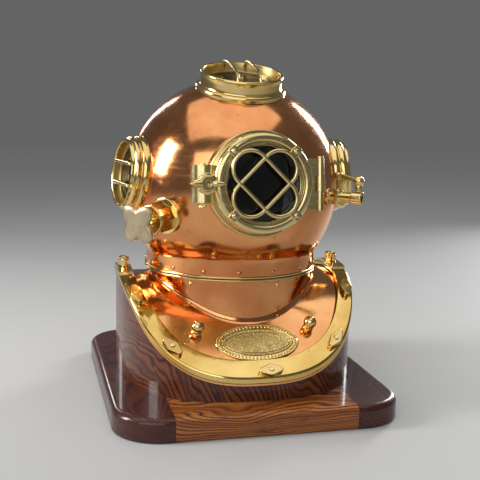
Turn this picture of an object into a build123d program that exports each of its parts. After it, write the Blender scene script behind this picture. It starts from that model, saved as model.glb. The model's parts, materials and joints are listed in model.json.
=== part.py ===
from build123d import *

import os
from math import asin, copysign, cos, radians, sin, sqrt, tan

# A copper and brass deep-sea diving helmet on a polished wooden stand.
# Millimetres, +Z up, front of the helmet towards -Y. The origin lies under the
# middle of the base board, and the helmet's own axis stands a little behind it.

# Fits between pieces
brazed_gap = 0.05
running_gap = 0.05
stud_hole_gap = 0.25
glazing_gap = 0.15
moving_gap = 0.3
small_rounding = 0.6
overrun = 30
head_rounding_share = 0.8

# Base board, three planks edge to edge, and its margins round the breastplate
board_side_margin = 25
board_front_margin = 41
board_rear_margin = 26
board_thickness = 31.5
board_corner_radius = 62
board_top_rounding = 9
board_foot_rounding = 3
centre_plank_width = 242

# Plinth under the breastplate
plinth_inset = 3
plinth_wall = 24
plinth_cheek_width = 36
plinth_front_height = 23.443

# Breastplate: a sheet bent over an arch along X and cut to a squarish oval
arch_radius = 167
arch_turn = 42
sheet_thickness = 2
shoulder_reach = 50
bib_reach = 73
back_reach = 56
rim_squareness = 2.65
rim_point_count = 32
sheet_inset = 1

# Brail bands, their packing, studs and nuts
packing_inset = 2.5
packing_thickness = 1.2
brail_width = 21
brail_thickness = 6
brail_end_gap = 0.5
stud_radius = 3
front_stud_turns = (21, 50.5, 88, 129.5, 159)
rear_stud_turns = (-21, -50.5, -90, -129.5, -159)
shoulder_stud_turns = (0, 180)
nut_half_length = 12
nut_lobe_radius = 4.2
nut_wall = 5.4
nut_height = 7.5
shoulder_nut_height = 11
nut_edge_rounding = 1
stud_end_proud = 1.2
shoulder_plate_length = 74
shoulder_plate_width = 20
shoulder_plate_thickness = 3.5
shoulder_plate_rounding = 1

# Collar tube, neck rings and gasket
collar_radius = 120
collar_wall = 2
collar_rise = 7
collar_foot_reach = 3.6
collar_foot_thickness = 3
lip_reach = 7
lip_rounding = 1
collar_ring_thickness = 2.6
neck_gasket_thickness = 1.2
bonnet_ring_thickness = 2.8
collar_skirt_depth = 20
collar_skirt_wall = 5.6
thread_lug_reach = 3.4
thread_lug_height = 6
thread_lug_turn = 43
thread_lug_count = 4
thread_lug_phase = 45
thread_lug_root = 1
thread_clearance = 0.4
bonnet_skirt_wall = 4.5
bonnet_upstand_height = 14
bonnet_upstand_wall = 5
collar_screw_turns = (-40, 20, 140, 200)
foot_rivet_turns = (-40, 20, 80, 140, 200, 260)
collar_screw_radius = 3.2
collar_screw_height = 2
collar_screw_drop = 7
foot_rivet_radius = 1.4
foot_rivet_height = 1

# Nameplate and ball studs on the front of the breastplate
plate_top_margin = 0.6
plate_foot_margin = 6.5
plate_shift = 5
plate_half_width = 58
plate_thickness = 1.6
plate_rim_width = 2.4
plate_rim_height = 0.9
plate_pin_radius = 1.6
plate_pin_height = 1.1
plate_pin_inset = 5
ball_stud_shift = 3
ball_stud_side_gap = 21
ball_stud_lift = 16.1
ball_radius = 6.6
ball_height = 12.5
ball_neck_radius = 3.8
ball_foot_radius = 7
ball_foot_height = 3

# Bonnet: a spun dome with a short straight neck
dome_radius = 155
dome_wall = 1.8
neck_step = 5
neck_length = 22.5485
rivet_count = 16
rivet_phase = -7.5
rivet_rise = 5.6
rivet_radius = 2.7
rivet_height = 2
rivet_shank_radius = 1.3

# Front port with its hinged door, its depths from the outside of the dome
front_rise = 6
front_bore_radius = 47
front_seat_proud = 4.5
seat_step = 4.2
seat_edge_rounding = 1.8
door_gasket_inset = 7
door_gasket_margin = 3.3
door_gasket_thickness = 1.3
door_gap = 0.2
door_depth = 20
door_lip_reach = 0.5
door_lip_thickness = 3
door_glass_ledge = 4.1
door_glass_thickness = 6
door_step_depth = 4
door_step_width = 2.9
door_ring_width = 12.8
door_outer_rounding = 7.4
door_inner_rounding = 4
door_retainer_wall = 3.6
door_retainer_height = 5

# Guard over the front glass: two crossed loops of rod
guard_rod_radius = 2.4
guard_half_width = 23.3
guard_inset = 0.6
guard_rise = 0.8
guard_tab_width = 10
guard_tab_reach_on = 10
guard_tab_thickness = 2.6
guard_screw_step = 4.7
guard_screw_radius = 3.4
guard_screw_height = 2.2
guard_screw_shank_radius = 1.8
guard_screw_depth = 8

# Door hinge at the wearer's left
hinge_offset = 9
hinge_lift = 4
hinge_half_height = 33
hinge_middle_half_height = 10
hinge_end_gap = 0.3
hinge_pin_radius = 2.6
hinge_knuckle_wall = 2.6
hinge_cap_radius = 4.4
hinge_cap_height = 2.6
door_leaf_inset = 1.5
door_leaf_lift = 0.4
door_leaf_thickness = 7
door_leaf_clearance = 8
seat_lug_inset = 6.5
seat_lug_reach = 9.5
seat_lug_proud = 1.1
seat_lug_knuckle_wall = 3.8

# Latch at the wearer's right: swing bolt and wing nut
latch_offset = 5.5
latch_drop = 3.5
latch_eye_wall = 4.6
latch_eye_half_width = 8
latch_side_gap = 0.3
latch_lug_outer = 24
latch_lug_reach = 6.5
latch_lug_inset = 8.5
latch_pin_radius = 2.6
latch_pin_head_radius = 5.4
latch_pin_head_height = 6
latch_pin_cap_radius = 4.2
latch_pin_cap_height = 2
bolt_radius = 3.5
bolt_length = 25
prong_wall = 10.8
prong_slot_gap = 1.1
prong_gap = 0.6
nut_base_gap = 0.3
wing_nut_base_radius = 11.5
wing_nut_crown_radius = 8
wing_nut_height = 10.5
wing_root = 6
wing_span = 21
wing_rise = 20
wing_tip_width = 4.5
wing_thickness = 5
wing_elbow_shares = (0.8, 0.45)
wing_tip_rise_share = 0.9
wing_armpit_share = 0.6

# Side ports, their depths from the outside of the dome
side_turn = 80.4
side_rise = 6.5
side_bore_radius = 36.5
side_glass_ledge = 7
side_ring_width = 4
side_groove_step = 1.8
side_bead_step = 2
side_flange_step = 4.4
side_ledge_drop = 3.2
side_groove_height = 1.8
side_bead_height = 8.4
side_rim_height = 7.6
side_glass_thickness = 5
side_retainer_wall = 6
side_retainer_height = 3

# Top port
top_tilt = 16
top_bore_radius = 45.5
top_glass_ledge = 8.1
top_ring_width = 4.4
top_groove_step = 0.6
top_flange_step = 4.7
top_flange_drop = 5.5
top_groove_depth = 2
top_ledge_drop = 5.4
top_rim_height = 18.9
top_glass_thickness = 5
top_retainer_wall = 6.4
top_retainer_height = 3
port_edge_rounding = 1.2

# Bars over the side and top glasses
bar_radius = 2.5
bar_bend_radius = 7
bar_wall_gap = 0.4
side_bar_offset = 15
side_bar_drop = 0.4
top_bar_offset = 16
top_bar_drop = 0.3

# Exhaust valve on the lower front at the wearer's right
exhaust_turn = -49
exhaust_drop = 32
exhaust_tilt = -5.5
exhaust_flange_step = 3
exhaust_flange_top = 4.5
exhaust_body_radius = 22
exhaust_sides = 8
exhaust_body_length = 31
exhaust_face_step = 1.6
exhaust_face_thickness = 3.5
exhaust_neck_wall = 5.5
exhaust_neck_length = 12
exhaust_gland_wall = 2.5
exhaust_gland_length = 5
exhaust_chamber_wall = 5.9
exhaust_chamber_end = 22
exhaust_stem_radius = 4
exhaust_disc_clearance = 2
exhaust_disc_thickness = 3
wheel_gap = 2.3
wheel_hub_wall = 4
wheel_hub_length = 3
wheel_thickness = 8.5
wheel_centre_radius = 13
wheel_lobe_reach = 24
wheel_lobe_radius = 9.2
wheel_valley_rounding = 6
wheel_edge_rounding = 2.8
wheel_lobe_count = 4

# Spit cock on the lower front at the wearer's left
cock_turn = 47
cock_drop = 6
cock_bore_radius = 4.5
cock_bore_depth = 14
cock_pipe_wall = 2.8
cock_flange_step = 5.7
cock_flange_height = 3.5
cock_collar_step = 1.5
cock_collar_length = 15
cock_pipe_length = 31.5
barrel_offset = 14
barrel_wall = 3.6
barrel_half_height = 10.5
plug_radius = 4
plug_depth = 8
stem_step = 1
stem_top = 24.6
lever_hub_wall = 2.3
lever_hub_height = 9.4
lever_bar_lift = 5.4
lever_bar_root_radius = 3.6
lever_bar_tip_radius = 2.7
lever_bar_half_width = 3
lever_length = 30
lever_ball_drop = 0.9
lever_ball_radius = 7.4
lever_foot_length = 14.1
lever_foot_radius = 5.4
lever_foot_waist = 4

# Elbows for the air hose and the telephone cable on the back
elbow_turns = {"air_inlet_elbow": 150, "telephone_elbow": -150}
elbow_drop = 4
elbow_flange_step = 8.5
elbow_flange_height = 2
elbow_pipe_wall = 5
elbow_straight_length = 15
elbow_bend_radius = 22
elbow_bend_turn = 78
elbow_hex_step = 4.5
elbow_hex_length = 9
elbow_spigot_wall = 3.5
elbow_spigot_length = 15
elbow_bore_radius = 8.5
elbow_bore_depth = 20

# Widths and reaches worked out from the collar outwards
rim_half_width = collar_radius + shoulder_reach
rim_front_reach = collar_radius + bib_reach
rim_rear_reach = collar_radius + back_reach
board_width = 2 * (rim_half_width + board_side_margin)
board_front = rim_front_reach + board_front_margin
board_rear = rim_rear_reach + board_rear_margin
board_depth = board_front + board_rear
helmet_setback = (board_front - board_rear) / 2
plinth_front_half_width = rim_half_width - plinth_cheek_width
lip_radius = collar_radius + lip_reach
neck_radius = collar_radius + neck_step
collar_bore = collar_radius - collar_wall
skirt_radius = collar_bore - 4 * brazed_gap
skirt_bore = skirt_radius - collar_skirt_wall
thread_bore = skirt_bore - thread_lug_reach
bonnet_skirt_radius = thread_bore - thread_clearance
upstand_radius = neck_radius - dome_wall - brazed_gap
nut_centre_radius = stud_radius + nut_wall

# Heights worked out from the board upwards
arch_bend = arch_radius * sin(radians(arch_turn))
arch_crown_rise = arch_radius - arch_radius * cos(radians(arch_turn))
arch_fall = arch_crown_rise + (rim_front_reach - arch_bend) * tan(radians(arch_turn))
shoulder_height = board_thickness + plinth_front_height + arch_fall
arch_centre_height = shoulder_height - arch_radius
arch_run = 2 * rim_front_reach
brail_foot = arch_radius + packing_thickness
brail_face = brail_foot + brail_thickness
collar_top = shoulder_height + collar_rise
gasket_foot = collar_top + collar_ring_thickness
bonnet_foot = gasket_foot + neck_gasket_thickness
band_foot = bonnet_foot + bonnet_ring_thickness
dome_centre_height = band_foot + neck_length + sqrt(dome_radius**2 - neck_radius**2)
cut_height = dome_centre_height + 2 * dome_radius
thread_foot = collar_top - collar_skirt_depth / 2
male_lug_top = thread_foot - moving_gap

# Nameplate and ball studs, worked out from the slope between collar and band
slope = cos(radians(arch_turn))
slope_top = collar_radius + collar_foot_reach + plate_top_margin * slope
slope_foot = rim_front_reach - brail_width - plate_foot_margin * slope
plate_centre_reach = (slope_top + slope_foot) / 2
plate_half_height = (slope_foot - slope_top) / (2 * slope)
ball_stud_spread = plate_half_width + ball_stud_side_gap
ball_stud_reach = plate_centre_reach - ball_stud_lift

# Front port and its door, worked out from its bore and the dome's outside
front_seat_face = dome_radius + front_seat_proud
door_bore_radius = front_bore_radius - door_lip_reach
door_glass_pocket = door_bore_radius + door_glass_ledge
door_ring_inner = door_glass_pocket + door_step_width
door_radius = door_ring_inner + door_ring_width
front_seat_radius = door_radius + seat_step
door_gasket_inner = front_bore_radius + door_gasket_inset
door_gasket_outer = door_radius - door_gasket_margin
door_back = front_seat_face + door_gasket_thickness + door_gap
door_front = door_back + door_depth
guard_height = door_front + guard_rise
guard_reach = door_glass_pocket - guard_inset
guard_tab_foot = door_front + brazed_gap
guard_tab_reach = door_ring_inner + guard_tab_reach_on
guard_screw_reach = door_ring_inner + guard_screw_step
hinge_reach = front_seat_radius + hinge_offset
hinge_depth = door_back + hinge_lift
hinge_knuckle_radius = hinge_pin_radius + hinge_knuckle_wall
door_leaf_start = door_ring_inner + door_leaf_inset
door_leaf_back = door_back + door_leaf_lift
seat_lug_start = front_seat_radius - seat_lug_inset
seat_lug_end = hinge_reach + seat_lug_reach
seat_lug_top = front_seat_face + seat_lug_proud
seat_lug_knuckle_radius = hinge_pin_radius + seat_lug_knuckle_wall
latch_reach = front_seat_radius + latch_offset
latch_depth = front_seat_face - latch_drop
latch_eye_radius = latch_pin_radius + latch_eye_wall
latch_lug_end = latch_reach + latch_lug_reach
latch_lug_start = front_seat_radius - latch_lug_inset
prong_radius = latch_eye_radius + prong_wall
prong_slot_half_width = bolt_radius + prong_slot_gap

# Side and top ports, worked out from their bores and the dome's outside
side_pocket_radius = side_bore_radius + side_glass_ledge
side_ring_radius = side_pocket_radius + side_ring_width
side_groove_radius = side_ring_radius + side_groove_step
side_bead_radius = side_groove_radius + side_bead_step
side_flange_radius = side_groove_radius + side_flange_step
side_ledge = dome_radius - side_ledge_drop
side_flange_top = side_ledge
side_bead_start = side_flange_top + side_groove_height
side_bead_top = side_bead_start + side_bead_height
side_rim = side_bead_top + side_rim_height
side_bar_height = side_rim - side_bar_drop
top_pocket_radius = top_bore_radius + top_glass_ledge
top_ring_radius = top_pocket_radius + top_ring_width
top_groove_radius = top_ring_radius + top_groove_step
top_flange_radius = top_groove_radius + top_flange_step
top_flange_top = dome_radius - top_flange_drop
top_ledge = dome_radius - top_ledge_drop
top_rim = top_ledge + top_rim_height
top_bar_height = top_rim - top_bar_drop

# Valve, cock and elbows, worked out from their bores and the dome's outside
exhaust_flange_radius = exhaust_body_radius + exhaust_flange_step
exhaust_face_radius = exhaust_body_radius - exhaust_face_step
exhaust_chamber_radius = exhaust_face_radius - exhaust_chamber_wall
exhaust_disc_radius = exhaust_chamber_radius - exhaust_disc_clearance
exhaust_neck_radius = exhaust_stem_radius + exhaust_neck_wall
exhaust_gland_radius = exhaust_neck_radius + exhaust_gland_wall
wheel_hub_radius = exhaust_stem_radius + wheel_hub_wall
cock_pipe_radius = cock_bore_radius + cock_pipe_wall
cock_flange_radius = cock_pipe_radius + cock_flange_step
cock_flange_end = dome_radius + cock_flange_height
cock_collar_radius = cock_pipe_radius + cock_collar_step
cock_collar_start = cock_flange_end + cock_pipe_length
cock_end = cock_collar_start + cock_collar_length
barrel_reach = dome_radius + barrel_offset
barrel_radius = plug_radius + barrel_wall
stem_radius = plug_radius - stem_step
lever_hub_radius = stem_radius + lever_hub_wall
lever_hub_top = stem_top + lever_hub_height
lever_bar_height = stem_top + lever_bar_lift
lever_ball_height = stem_top - lever_ball_drop
lever_foot_bottom = lever_ball_height - lever_foot_length
elbow_pipe_radius = elbow_bore_radius + elbow_pipe_wall
elbow_flange_radius = elbow_pipe_radius + elbow_flange_step
elbow_flange_end = dome_radius + elbow_flange_height
elbow_straight_end = elbow_flange_end + elbow_straight_length
elbow_hex_radius = elbow_pipe_radius + elbow_hex_step
elbow_spigot_radius = elbow_bore_radius + elbow_spigot_wall

# Planes: plan is level with the helmet's axis at its origin, side looks along X
plan = Plane(origin=(0, helmet_setback, 0))
side = Plane(origin=(0, helmet_setback, 0), x_dir=(0, 1, 0), z_dir=(1, 0, 0))
dome_centre = Vector(0, helmet_setback, dome_centre_height)


def direction(turn, rise):
    """Outward direction, turned from the front towards the wearer's left."""
    level = cos(radians(rise))
    return Vector(sin(radians(turn)) * level, -cos(radians(turn)) * level, sin(radians(rise)))


def facing(origin, turn, rise=0):
    """Plane that looks outwards, its x to the right as seen from outside."""
    across = (cos(radians(turn)), sin(radians(turn)), 0)
    return Plane(origin=origin, x_dir=across, z_dir=direction(turn, rise))


def shifted(frame, x=0, y=0, z=0):
    """The same plane, moved along its own axes."""
    return Plane(origin=frame.from_local_coords((x, y, z)), x_dir=frame.x_dir, z_dir=frame.z_dir)


def upright_section(frame):
    """Plane through a frame's axis: x across it, y along the axis."""
    return Plane(origin=frame.origin, x_dir=frame.x_dir, z_dir=-frame.y_dir)


def outward_section(frame):
    """Plane through a frame's axis: x along the axis, y along the frame's y."""
    return Plane(origin=frame.origin, x_dir=frame.z_dir, z_dir=-frame.x_dir)


def pivot_frame(frame, x, z):
    """Plane whose axis is a pivot parallel to the frame's y, through a point."""
    origin = frame.from_local_coords((x, 0, z))
    return Plane(origin=origin, x_dir=frame.x_dir, z_dir=frame.y_dir)


def turned(frame, *corners, arc=360, mode=Mode.ADD):
    """Turns an outline of (radius, height, rounding) corners about a frame's axis."""
    with BuildSketch(upright_section(frame)) as profile:
        with BuildLine():
            points = [corner[:2] for corner in corners]
            radii = [corner[2] if len(corner) > 2 else 0 for corner in corners]
            FilletPolyline(*points, radius=radii, close=True)
        make_face()
    revolve(profile.sketch, axis=Axis(frame.origin, frame.z_dir), revolution_arc=arc, mode=mode)


def tube(frame, inner, outer, low, high, mode=Mode.ADD):
    """A round tube or rod along a frame's axis."""
    with BuildSketch(shifted(frame, z=low)) as profile:
        Circle(outer)
        if inner:
            Circle(inner, mode=Mode.SUBTRACT)
    extrude(profile.sketch, amount=high - low, mode=mode)


def block(frame, x, y, z, mode=Mode.ADD):
    """A box between pairs of limits along a frame's axes."""
    middle = shifted(frame, x=(x[0] + x[1]) / 2, y=(y[0] + y[1]) / 2, z=z[0])
    with BuildSketch(middle) as profile:
        Rectangle(x[1] - x[0], y[1] - y[0])
    extrude(profile.sketch, amount=z[1] - z[0], mode=mode)


def clear_of_dome():
    """Cuts a fitting to the outside of the dome."""
    with Locations(dome_centre):
        Sphere(dome_radius + brazed_gap, mode=Mode.SUBTRACT)


def arch_point(turn, radius, run=0):
    """Point on the arch, from its crown to a turn and on along the tangent."""
    along = radius * sin(radians(turn)) + copysign(run * cos(radians(turn)), turn)
    rise = radius * cos(radians(turn)) - run * sin(radians(abs(turn)))
    return (along, arch_centre_height + rise)


def arch_line(radius):
    """One side of the arched sheet, from the rear foot to the front foot."""
    Line(arch_point(arch_turn, radius, arch_run), arch_point(arch_turn, radius))
    crown = arch_point(0, radius)
    ThreePointArc(arch_point(arch_turn, radius), crown, arch_point(-arch_turn, radius))
    Line(arch_point(-arch_turn, radius), arch_point(-arch_turn, radius, arch_run))


def arch_layer(low, high, mode=Mode.ADD):
    """A layer of the arch between two radii, wide enough for any outline."""
    with BuildSketch(side) as profile:
        with BuildLine():
            arch_line(low)
            arch_line(high)
            for turn in (-arch_turn, arch_turn):
                Line(arch_point(turn, low, arch_run), arch_point(turn, high, arch_run))
        make_face()
    extrude(profile.sketch, amount=rim_half_width + overrun, both=True, mode=mode)


def under_arch(radius, mode):
    """Everything under the arch at a radius."""
    with BuildSketch(side) as profile:
        with BuildLine():
            arch_line(radius)
            Line(arch_point(-arch_turn, radius, arch_run), arch_point(arch_turn, radius, arch_run))
        make_face()
    extrude(profile.sketch, amount=rim_half_width + overrun, both=True, mode=mode)


def rim_point(turn, inset):
    """Point on the breastplate's oval plan, turned from the wearer's left shoulder to the front."""
    reach = rim_front_reach if sin(radians(turn)) > 0 else rim_rear_reach
    power = 2 / rim_squareness
    across = copysign(abs(cos(radians(turn))) ** power, cos(radians(turn)))
    along = copysign(abs(sin(radians(turn))) ** power, sin(radians(turn)))
    return ((rim_half_width - inset) * across, -(reach - inset) * along)


def inside_rim(inset, mode):
    """A tall prism inside the oval plan."""
    with BuildSketch(plan) as profile:
        with BuildLine():
            turns = [360 * step / rim_point_count for step in range(rim_point_count)]
            Spline(*[rim_point(turn, inset) for turn in turns], periodic=True)
        make_face()
    extrude(profile.sketch, amount=cut_height, mode=mode)


def on_arch(x, y, rise=0, along=None):
    """Plane that lies on the arch over a plan point, looking away from it."""
    if abs(y) <= arch_bend:
        turn = asin(y / arch_radius)
        height = arch_centre_height + arch_radius * cos(turn)
    else:
        turn = copysign(radians(arch_turn), y)
        fall = (abs(y) - arch_bend) * tan(abs(turn))
        height = arch_centre_height + arch_radius * cos(turn) - fall
    normal = Vector(0, sin(turn), cos(turn))
    foot = Vector(x, helmet_setback + y, height)
    heading = Vector(1, 0, 0) if along is None else along
    heading = (heading - normal * heading.dot(normal)).normalized()
    return Plane(origin=foot + normal * rise, x_dir=heading, z_dir=normal)


def on_rim(turn, rise=0):
    """Plane on the middle of the brail band, its x along the band."""
    inset = brail_width / 2
    before = on_arch(*rim_point(turn - 1, inset)).origin
    after = on_arch(*rim_point(turn + 1, inset)).origin
    return on_arch(*rim_point(turn, inset), rise=rise, along=after - before)


def dome_head(frame, radius, height):
    """A low round head that stands on a plane."""
    turned(frame, (0, 0), (radius, 0), (radius, height, height * head_rounding_share), (0, height))


def save(name, piece):
    """Writes one sub-part under its own name."""
    piece.part.label = name
    export_step(piece.part, f"parts/{name}.step")


os.makedirs("parts", exist_ok=True)

front = facing(dome_centre, 0, front_rise)
left = facing(dome_centre, -side_turn, side_rise)
right = facing(dome_centre, side_turn, side_rise)
top = facing(dome_centre, 0, 90 - top_tilt)
exhaust_level = sqrt(dome_radius**2 - exhaust_drop**2)
exhaust_root = dome_centre + direction(exhaust_turn, 0) * exhaust_level - Vector(0, 0, exhaust_drop)
exhaust = facing(exhaust_root, exhaust_turn, exhaust_tilt)
cock = facing(dome_centre - Vector(0, 0, cock_drop), cock_turn)
elbows = {
    name: facing(dome_centre - Vector(0, 0, elbow_drop), turn) for name, turn in elbow_turns.items()
}

# Base board
with BuildPart() as board:
    with BuildSketch():
        RectangleRounded(board_width, board_depth, board_corner_radius)
    extrude(amount=board_thickness)
    fillet(board.edges().group_by(Axis.Z)[-1], board_top_rounding)
    fillet(board.edges().group_by(Axis.Z)[0], board_foot_rounding)

plank_edge = centre_plank_width / 2
with BuildPart() as board_centre:
    add(board.part)
    split(bisect_by=Plane.YZ.offset(-plank_edge), keep=Keep.TOP)
    split(bisect_by=Plane.YZ.offset(plank_edge), keep=Keep.BOTTOM)
save("board_centre_plank", board_centre)

with BuildPart() as board_left:
    add(board.part)
    split(bisect_by=Plane.YZ.offset(-plank_edge), keep=Keep.BOTTOM)
save("board_left_plank", board_left)

with BuildPart() as board_right:
    add(board.part)
    split(bisect_by=Plane.YZ.offset(plank_edge), keep=Keep.TOP)
save("board_right_plank", board_right)

# Plinth: an oval wall under the breastplate, its top cut to the arch
with BuildPart() as plinth:
    inside_rim(plinth_inset, Mode.ADD)
    inside_rim(plinth_inset + plinth_wall, Mode.SUBTRACT)
    under_arch(arch_radius - sheet_thickness - moving_gap, Mode.INTERSECT)
    split(bisect_by=Plane.XY.offset(board_thickness), keep=Keep.TOP)

for name, keep_side in (("plinth_left_cheek", -1), ("plinth_right_cheek", 1)):
    with BuildPart() as cheek:
        add(plinth.part)
        edge = Plane.YZ.offset(keep_side * plinth_front_half_width)
        split(bisect_by=edge, keep=Keep.TOP if keep_side > 0 else Keep.BOTTOM)
    save(name, cheek)

for name, keep_end in (("plinth_front", Keep.BOTTOM), ("plinth_rear", Keep.TOP)):
    with BuildPart() as plinth_end:
        add(plinth.part)
        split(bisect_by=Plane.YZ.offset(-plinth_front_half_width), keep=Keep.TOP)
        split(bisect_by=Plane.YZ.offset(plinth_front_half_width), keep=Keep.BOTTOM)
        split(bisect_by=Plane.ZX.offset(helmet_setback), keep=keep_end)
    save(name, plinth_end)

# Breastplate sheet with its stud holes and the neck hole
stud_turns = (*front_stud_turns, *rear_stud_turns, *shoulder_stud_turns)
with BuildPart() as breastplate:
    arch_layer(arch_radius - sheet_thickness, arch_radius)
    inside_rim(sheet_inset, Mode.INTERSECT)
    tube(plan, 0, collar_bore, 0, cut_height, mode=Mode.SUBTRACT)
    for turn in stud_turns:
        tube(on_rim(turn), 0, stud_radius + brazed_gap, -overrun, overrun, mode=Mode.SUBTRACT)
save("breastplate", breastplate)

with BuildPart() as rim_packing:
    arch_layer(arch_radius, brail_foot)
    inside_rim(packing_inset, Mode.INTERSECT)
    inside_rim(brail_width - packing_inset, Mode.SUBTRACT)
    for turn in stud_turns:
        tube(on_rim(turn), 0, stud_radius + stud_hole_gap, -overrun, overrun, mode=Mode.SUBTRACT)
save("rim_packing", rim_packing)

with BuildPart() as brail:
    arch_layer(brail_foot, brail_face)
    inside_rim(0, Mode.INTERSECT)
    inside_rim(brail_width, Mode.SUBTRACT)
    for turn in stud_turns:
        tube(on_rim(turn), 0, stud_radius + stud_hole_gap, -overrun, overrun, mode=Mode.SUBTRACT)

for name, end, keep_end in (
    ("brail_front", -brail_end_gap / 2, Keep.BOTTOM),
    ("brail_rear", brail_end_gap / 2, Keep.TOP),
):
    with BuildPart() as brail_half:
        add(brail.part)
        split(bisect_by=Plane.ZX.offset(helmet_setback + end), keep=keep_end)
    save(name, brail_half)

with BuildPart() as shoulder_plates:
    arch_layer(brail_face, brail_face + shoulder_plate_thickness)
    with BuildSketch(plan) as plates:
        for turn in shoulder_stud_turns:
            with Locations(rim_point(turn, brail_width / 2)):
                Rectangle(shoulder_plate_width, shoulder_plate_length)
        fillet(plates.vertices(), shoulder_plate_rounding)
    extrude(amount=cut_height, mode=Mode.INTERSECT)
    for turn in shoulder_stud_turns:
        tube(on_rim(turn), 0, stud_radius + stud_hole_gap, -overrun, overrun, mode=Mode.SUBTRACT)
save("shoulder_plates", shoulder_plates)


def stud(turn, top):
    """A stud brazed into the sheet, from its underside to a rounded end above the nut."""
    frame = on_rim(turn, rise=brazed_gap - sheet_thickness)
    length = top + sheet_thickness - brazed_gap
    turned(frame, (0, 0), (stud_radius, 0), (stud_radius, length, small_rounding), (0, length))


nut_foot = brail_face - arch_radius + brazed_gap
shoulder_nut_foot = nut_foot + shoulder_plate_thickness
with BuildPart() as brail_studs:
    for turn in stud_turns:
        shoulder = turn in shoulder_stud_turns
        foot, height = (shoulder_nut_foot, shoulder_nut_height) if shoulder else (nut_foot, nut_height)
        stud(turn, foot + height + stud_end_proud)
save("brail_studs", brail_studs)


def two_lobed_nut(height):
    """A nut with a bore and two lobes along X, standing on its plane."""
    with BuildPart() as nut:
        with BuildSketch():
            with BuildLine():
                CenterArc((0, 0), nut_centre_radius, 0, 360)
                CenterArc((nut_half_length, 0), nut_lobe_radius, 0, 360)
                CenterArc((-nut_half_length, 0), nut_lobe_radius, 0, 360)
            make_hull()
            Circle(stud_radius + running_gap, mode=Mode.SUBTRACT)
        extrude(amount=height)
        fillet(nut.faces().sort_by(Axis.Z)[-1].outer_wire().edges(), nut_edge_rounding)
    return nut.part


brail_nut = two_lobed_nut(nut_height)
with BuildPart() as brail_nuts:
    for turn in (*front_stud_turns, *rear_stud_turns):
        with Locations(on_rim(turn, rise=nut_foot)):
            add(brail_nut)
save("brail_nuts", brail_nuts)

shoulder_nut = two_lobed_nut(shoulder_nut_height)
with BuildPart() as shoulder_nuts:
    for turn in shoulder_stud_turns:
        with Locations(on_rim(turn, rise=shoulder_nut_foot)):
            add(shoulder_nut)
save("shoulder_nuts", shoulder_nuts)

# Nameplate, bare, with a raised border
plate = on_arch(plate_shift, -plate_centre_reach)
with BuildPart() as nameplate:
    with BuildSketch(shifted(plate, z=brazed_gap)):
        Ellipse(plate_half_width, plate_half_height)
    extrude(amount=plate_thickness)
    with BuildSketch(shifted(plate, z=plate_thickness + brazed_gap)):
        Ellipse(plate_half_width, plate_half_height)
        Ellipse(
            plate_half_width - plate_rim_width,
            plate_half_height - plate_rim_width,
            mode=Mode.SUBTRACT,
        )
    extrude(amount=plate_rim_height)
save("nameplate", nameplate)

with BuildPart() as nameplate_pins:
    for mirror_side in (-1, 1):
        reach = mirror_side * (plate_half_width - plate_rim_width - plate_pin_inset)
        pin = shifted(plate, x=reach, z=plate_thickness + 2 * brazed_gap)
        dome_head(pin, plate_pin_radius, plate_pin_height)
save("nameplate_pins", nameplate_pins)

with BuildPart() as ball_studs:
    for mirror_side in (-1, 1):
        shift = ball_stud_shift + mirror_side * ball_stud_spread
        foot = on_arch(shift, -ball_stud_reach, brazed_gap)
        turned(
            foot,
            (0, 0),
            (ball_foot_radius, 0),
            (ball_foot_radius, ball_foot_height, small_rounding),
            (0, ball_foot_height),
        )
        tube(foot, 0, ball_neck_radius, 0, ball_height)
        with Locations(foot.from_local_coords((0, 0, ball_height))):
            Sphere(ball_radius)
save("ball_studs", ball_studs)

# Collar: the copper tube, and its foot brazed onto the breastplate
foot_radius = collar_radius + collar_foot_reach
with BuildPart() as foot_flange:
    arch_layer(arch_radius, arch_radius + collar_foot_thickness)
    tube(plan, collar_bore, foot_radius, 0, cut_height, mode=Mode.INTERSECT)

with BuildPart() as collar_tube:
    tube(plan, collar_bore, collar_radius, 0, collar_top - brazed_gap)
    add(foot_flange.part)
    under_arch(arch_radius + brazed_gap, Mode.SUBTRACT)
save("collar_tube", collar_tube)

with BuildPart() as foot_rivets:
    for turn in foot_rivet_turns:
        reach = collar_radius + collar_foot_reach / 2
        place = on_arch(reach * sin(radians(turn)), -reach * cos(radians(turn)))
        seat = shifted(place, z=collar_foot_thickness + brazed_gap)
        dome_head(seat, foot_rivet_radius, foot_rivet_height)
save("collar_foot_rivets", foot_rivets)

with BuildPart() as collar_screws:
    for turn in collar_screw_turns:
        origin = Vector(0, helmet_setback, collar_top - collar_screw_drop)
        head = shifted(facing(origin, turn), z=collar_radius - small_rounding)
        dome_head(head, collar_screw_radius, collar_screw_height + small_rounding)
    tube(plan, 0, collar_radius + brazed_gap, 0, collar_top, mode=Mode.SUBTRACT)
save("collar_screws", collar_screws)


def thread_lugs(inner, outer, low, high):
    """Sectors of interrupted thread round the neck."""
    for step in range(thread_lug_count):
        turn = thread_lug_phase + 360 * step / thread_lug_count - thread_lug_turn / 2
        start = Plane(origin=plan.origin, x_dir=(cos(radians(turn)), sin(radians(turn)), 0))
        turned(start, (inner, low), (outer, low), (outer, high), (inner, high), arc=thread_lug_turn)


# Neck rings: the bonnet's lugs pass between the collar's and lock under them
with BuildPart() as collar_ring:
    skirt_foot = collar_top - collar_skirt_depth
    turned(
        plan,
        (skirt_bore, skirt_foot),
        (skirt_radius, skirt_foot),
        (skirt_radius, collar_top),
        (lip_radius, collar_top, lip_rounding),
        (lip_radius, gasket_foot, lip_rounding),
        (skirt_bore, gasket_foot),
    )
    lug_root = skirt_bore + thread_lug_root
    thread_lugs(thread_bore, lug_root, thread_foot, thread_foot + thread_lug_height)
save("collar_ring", collar_ring)

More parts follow.
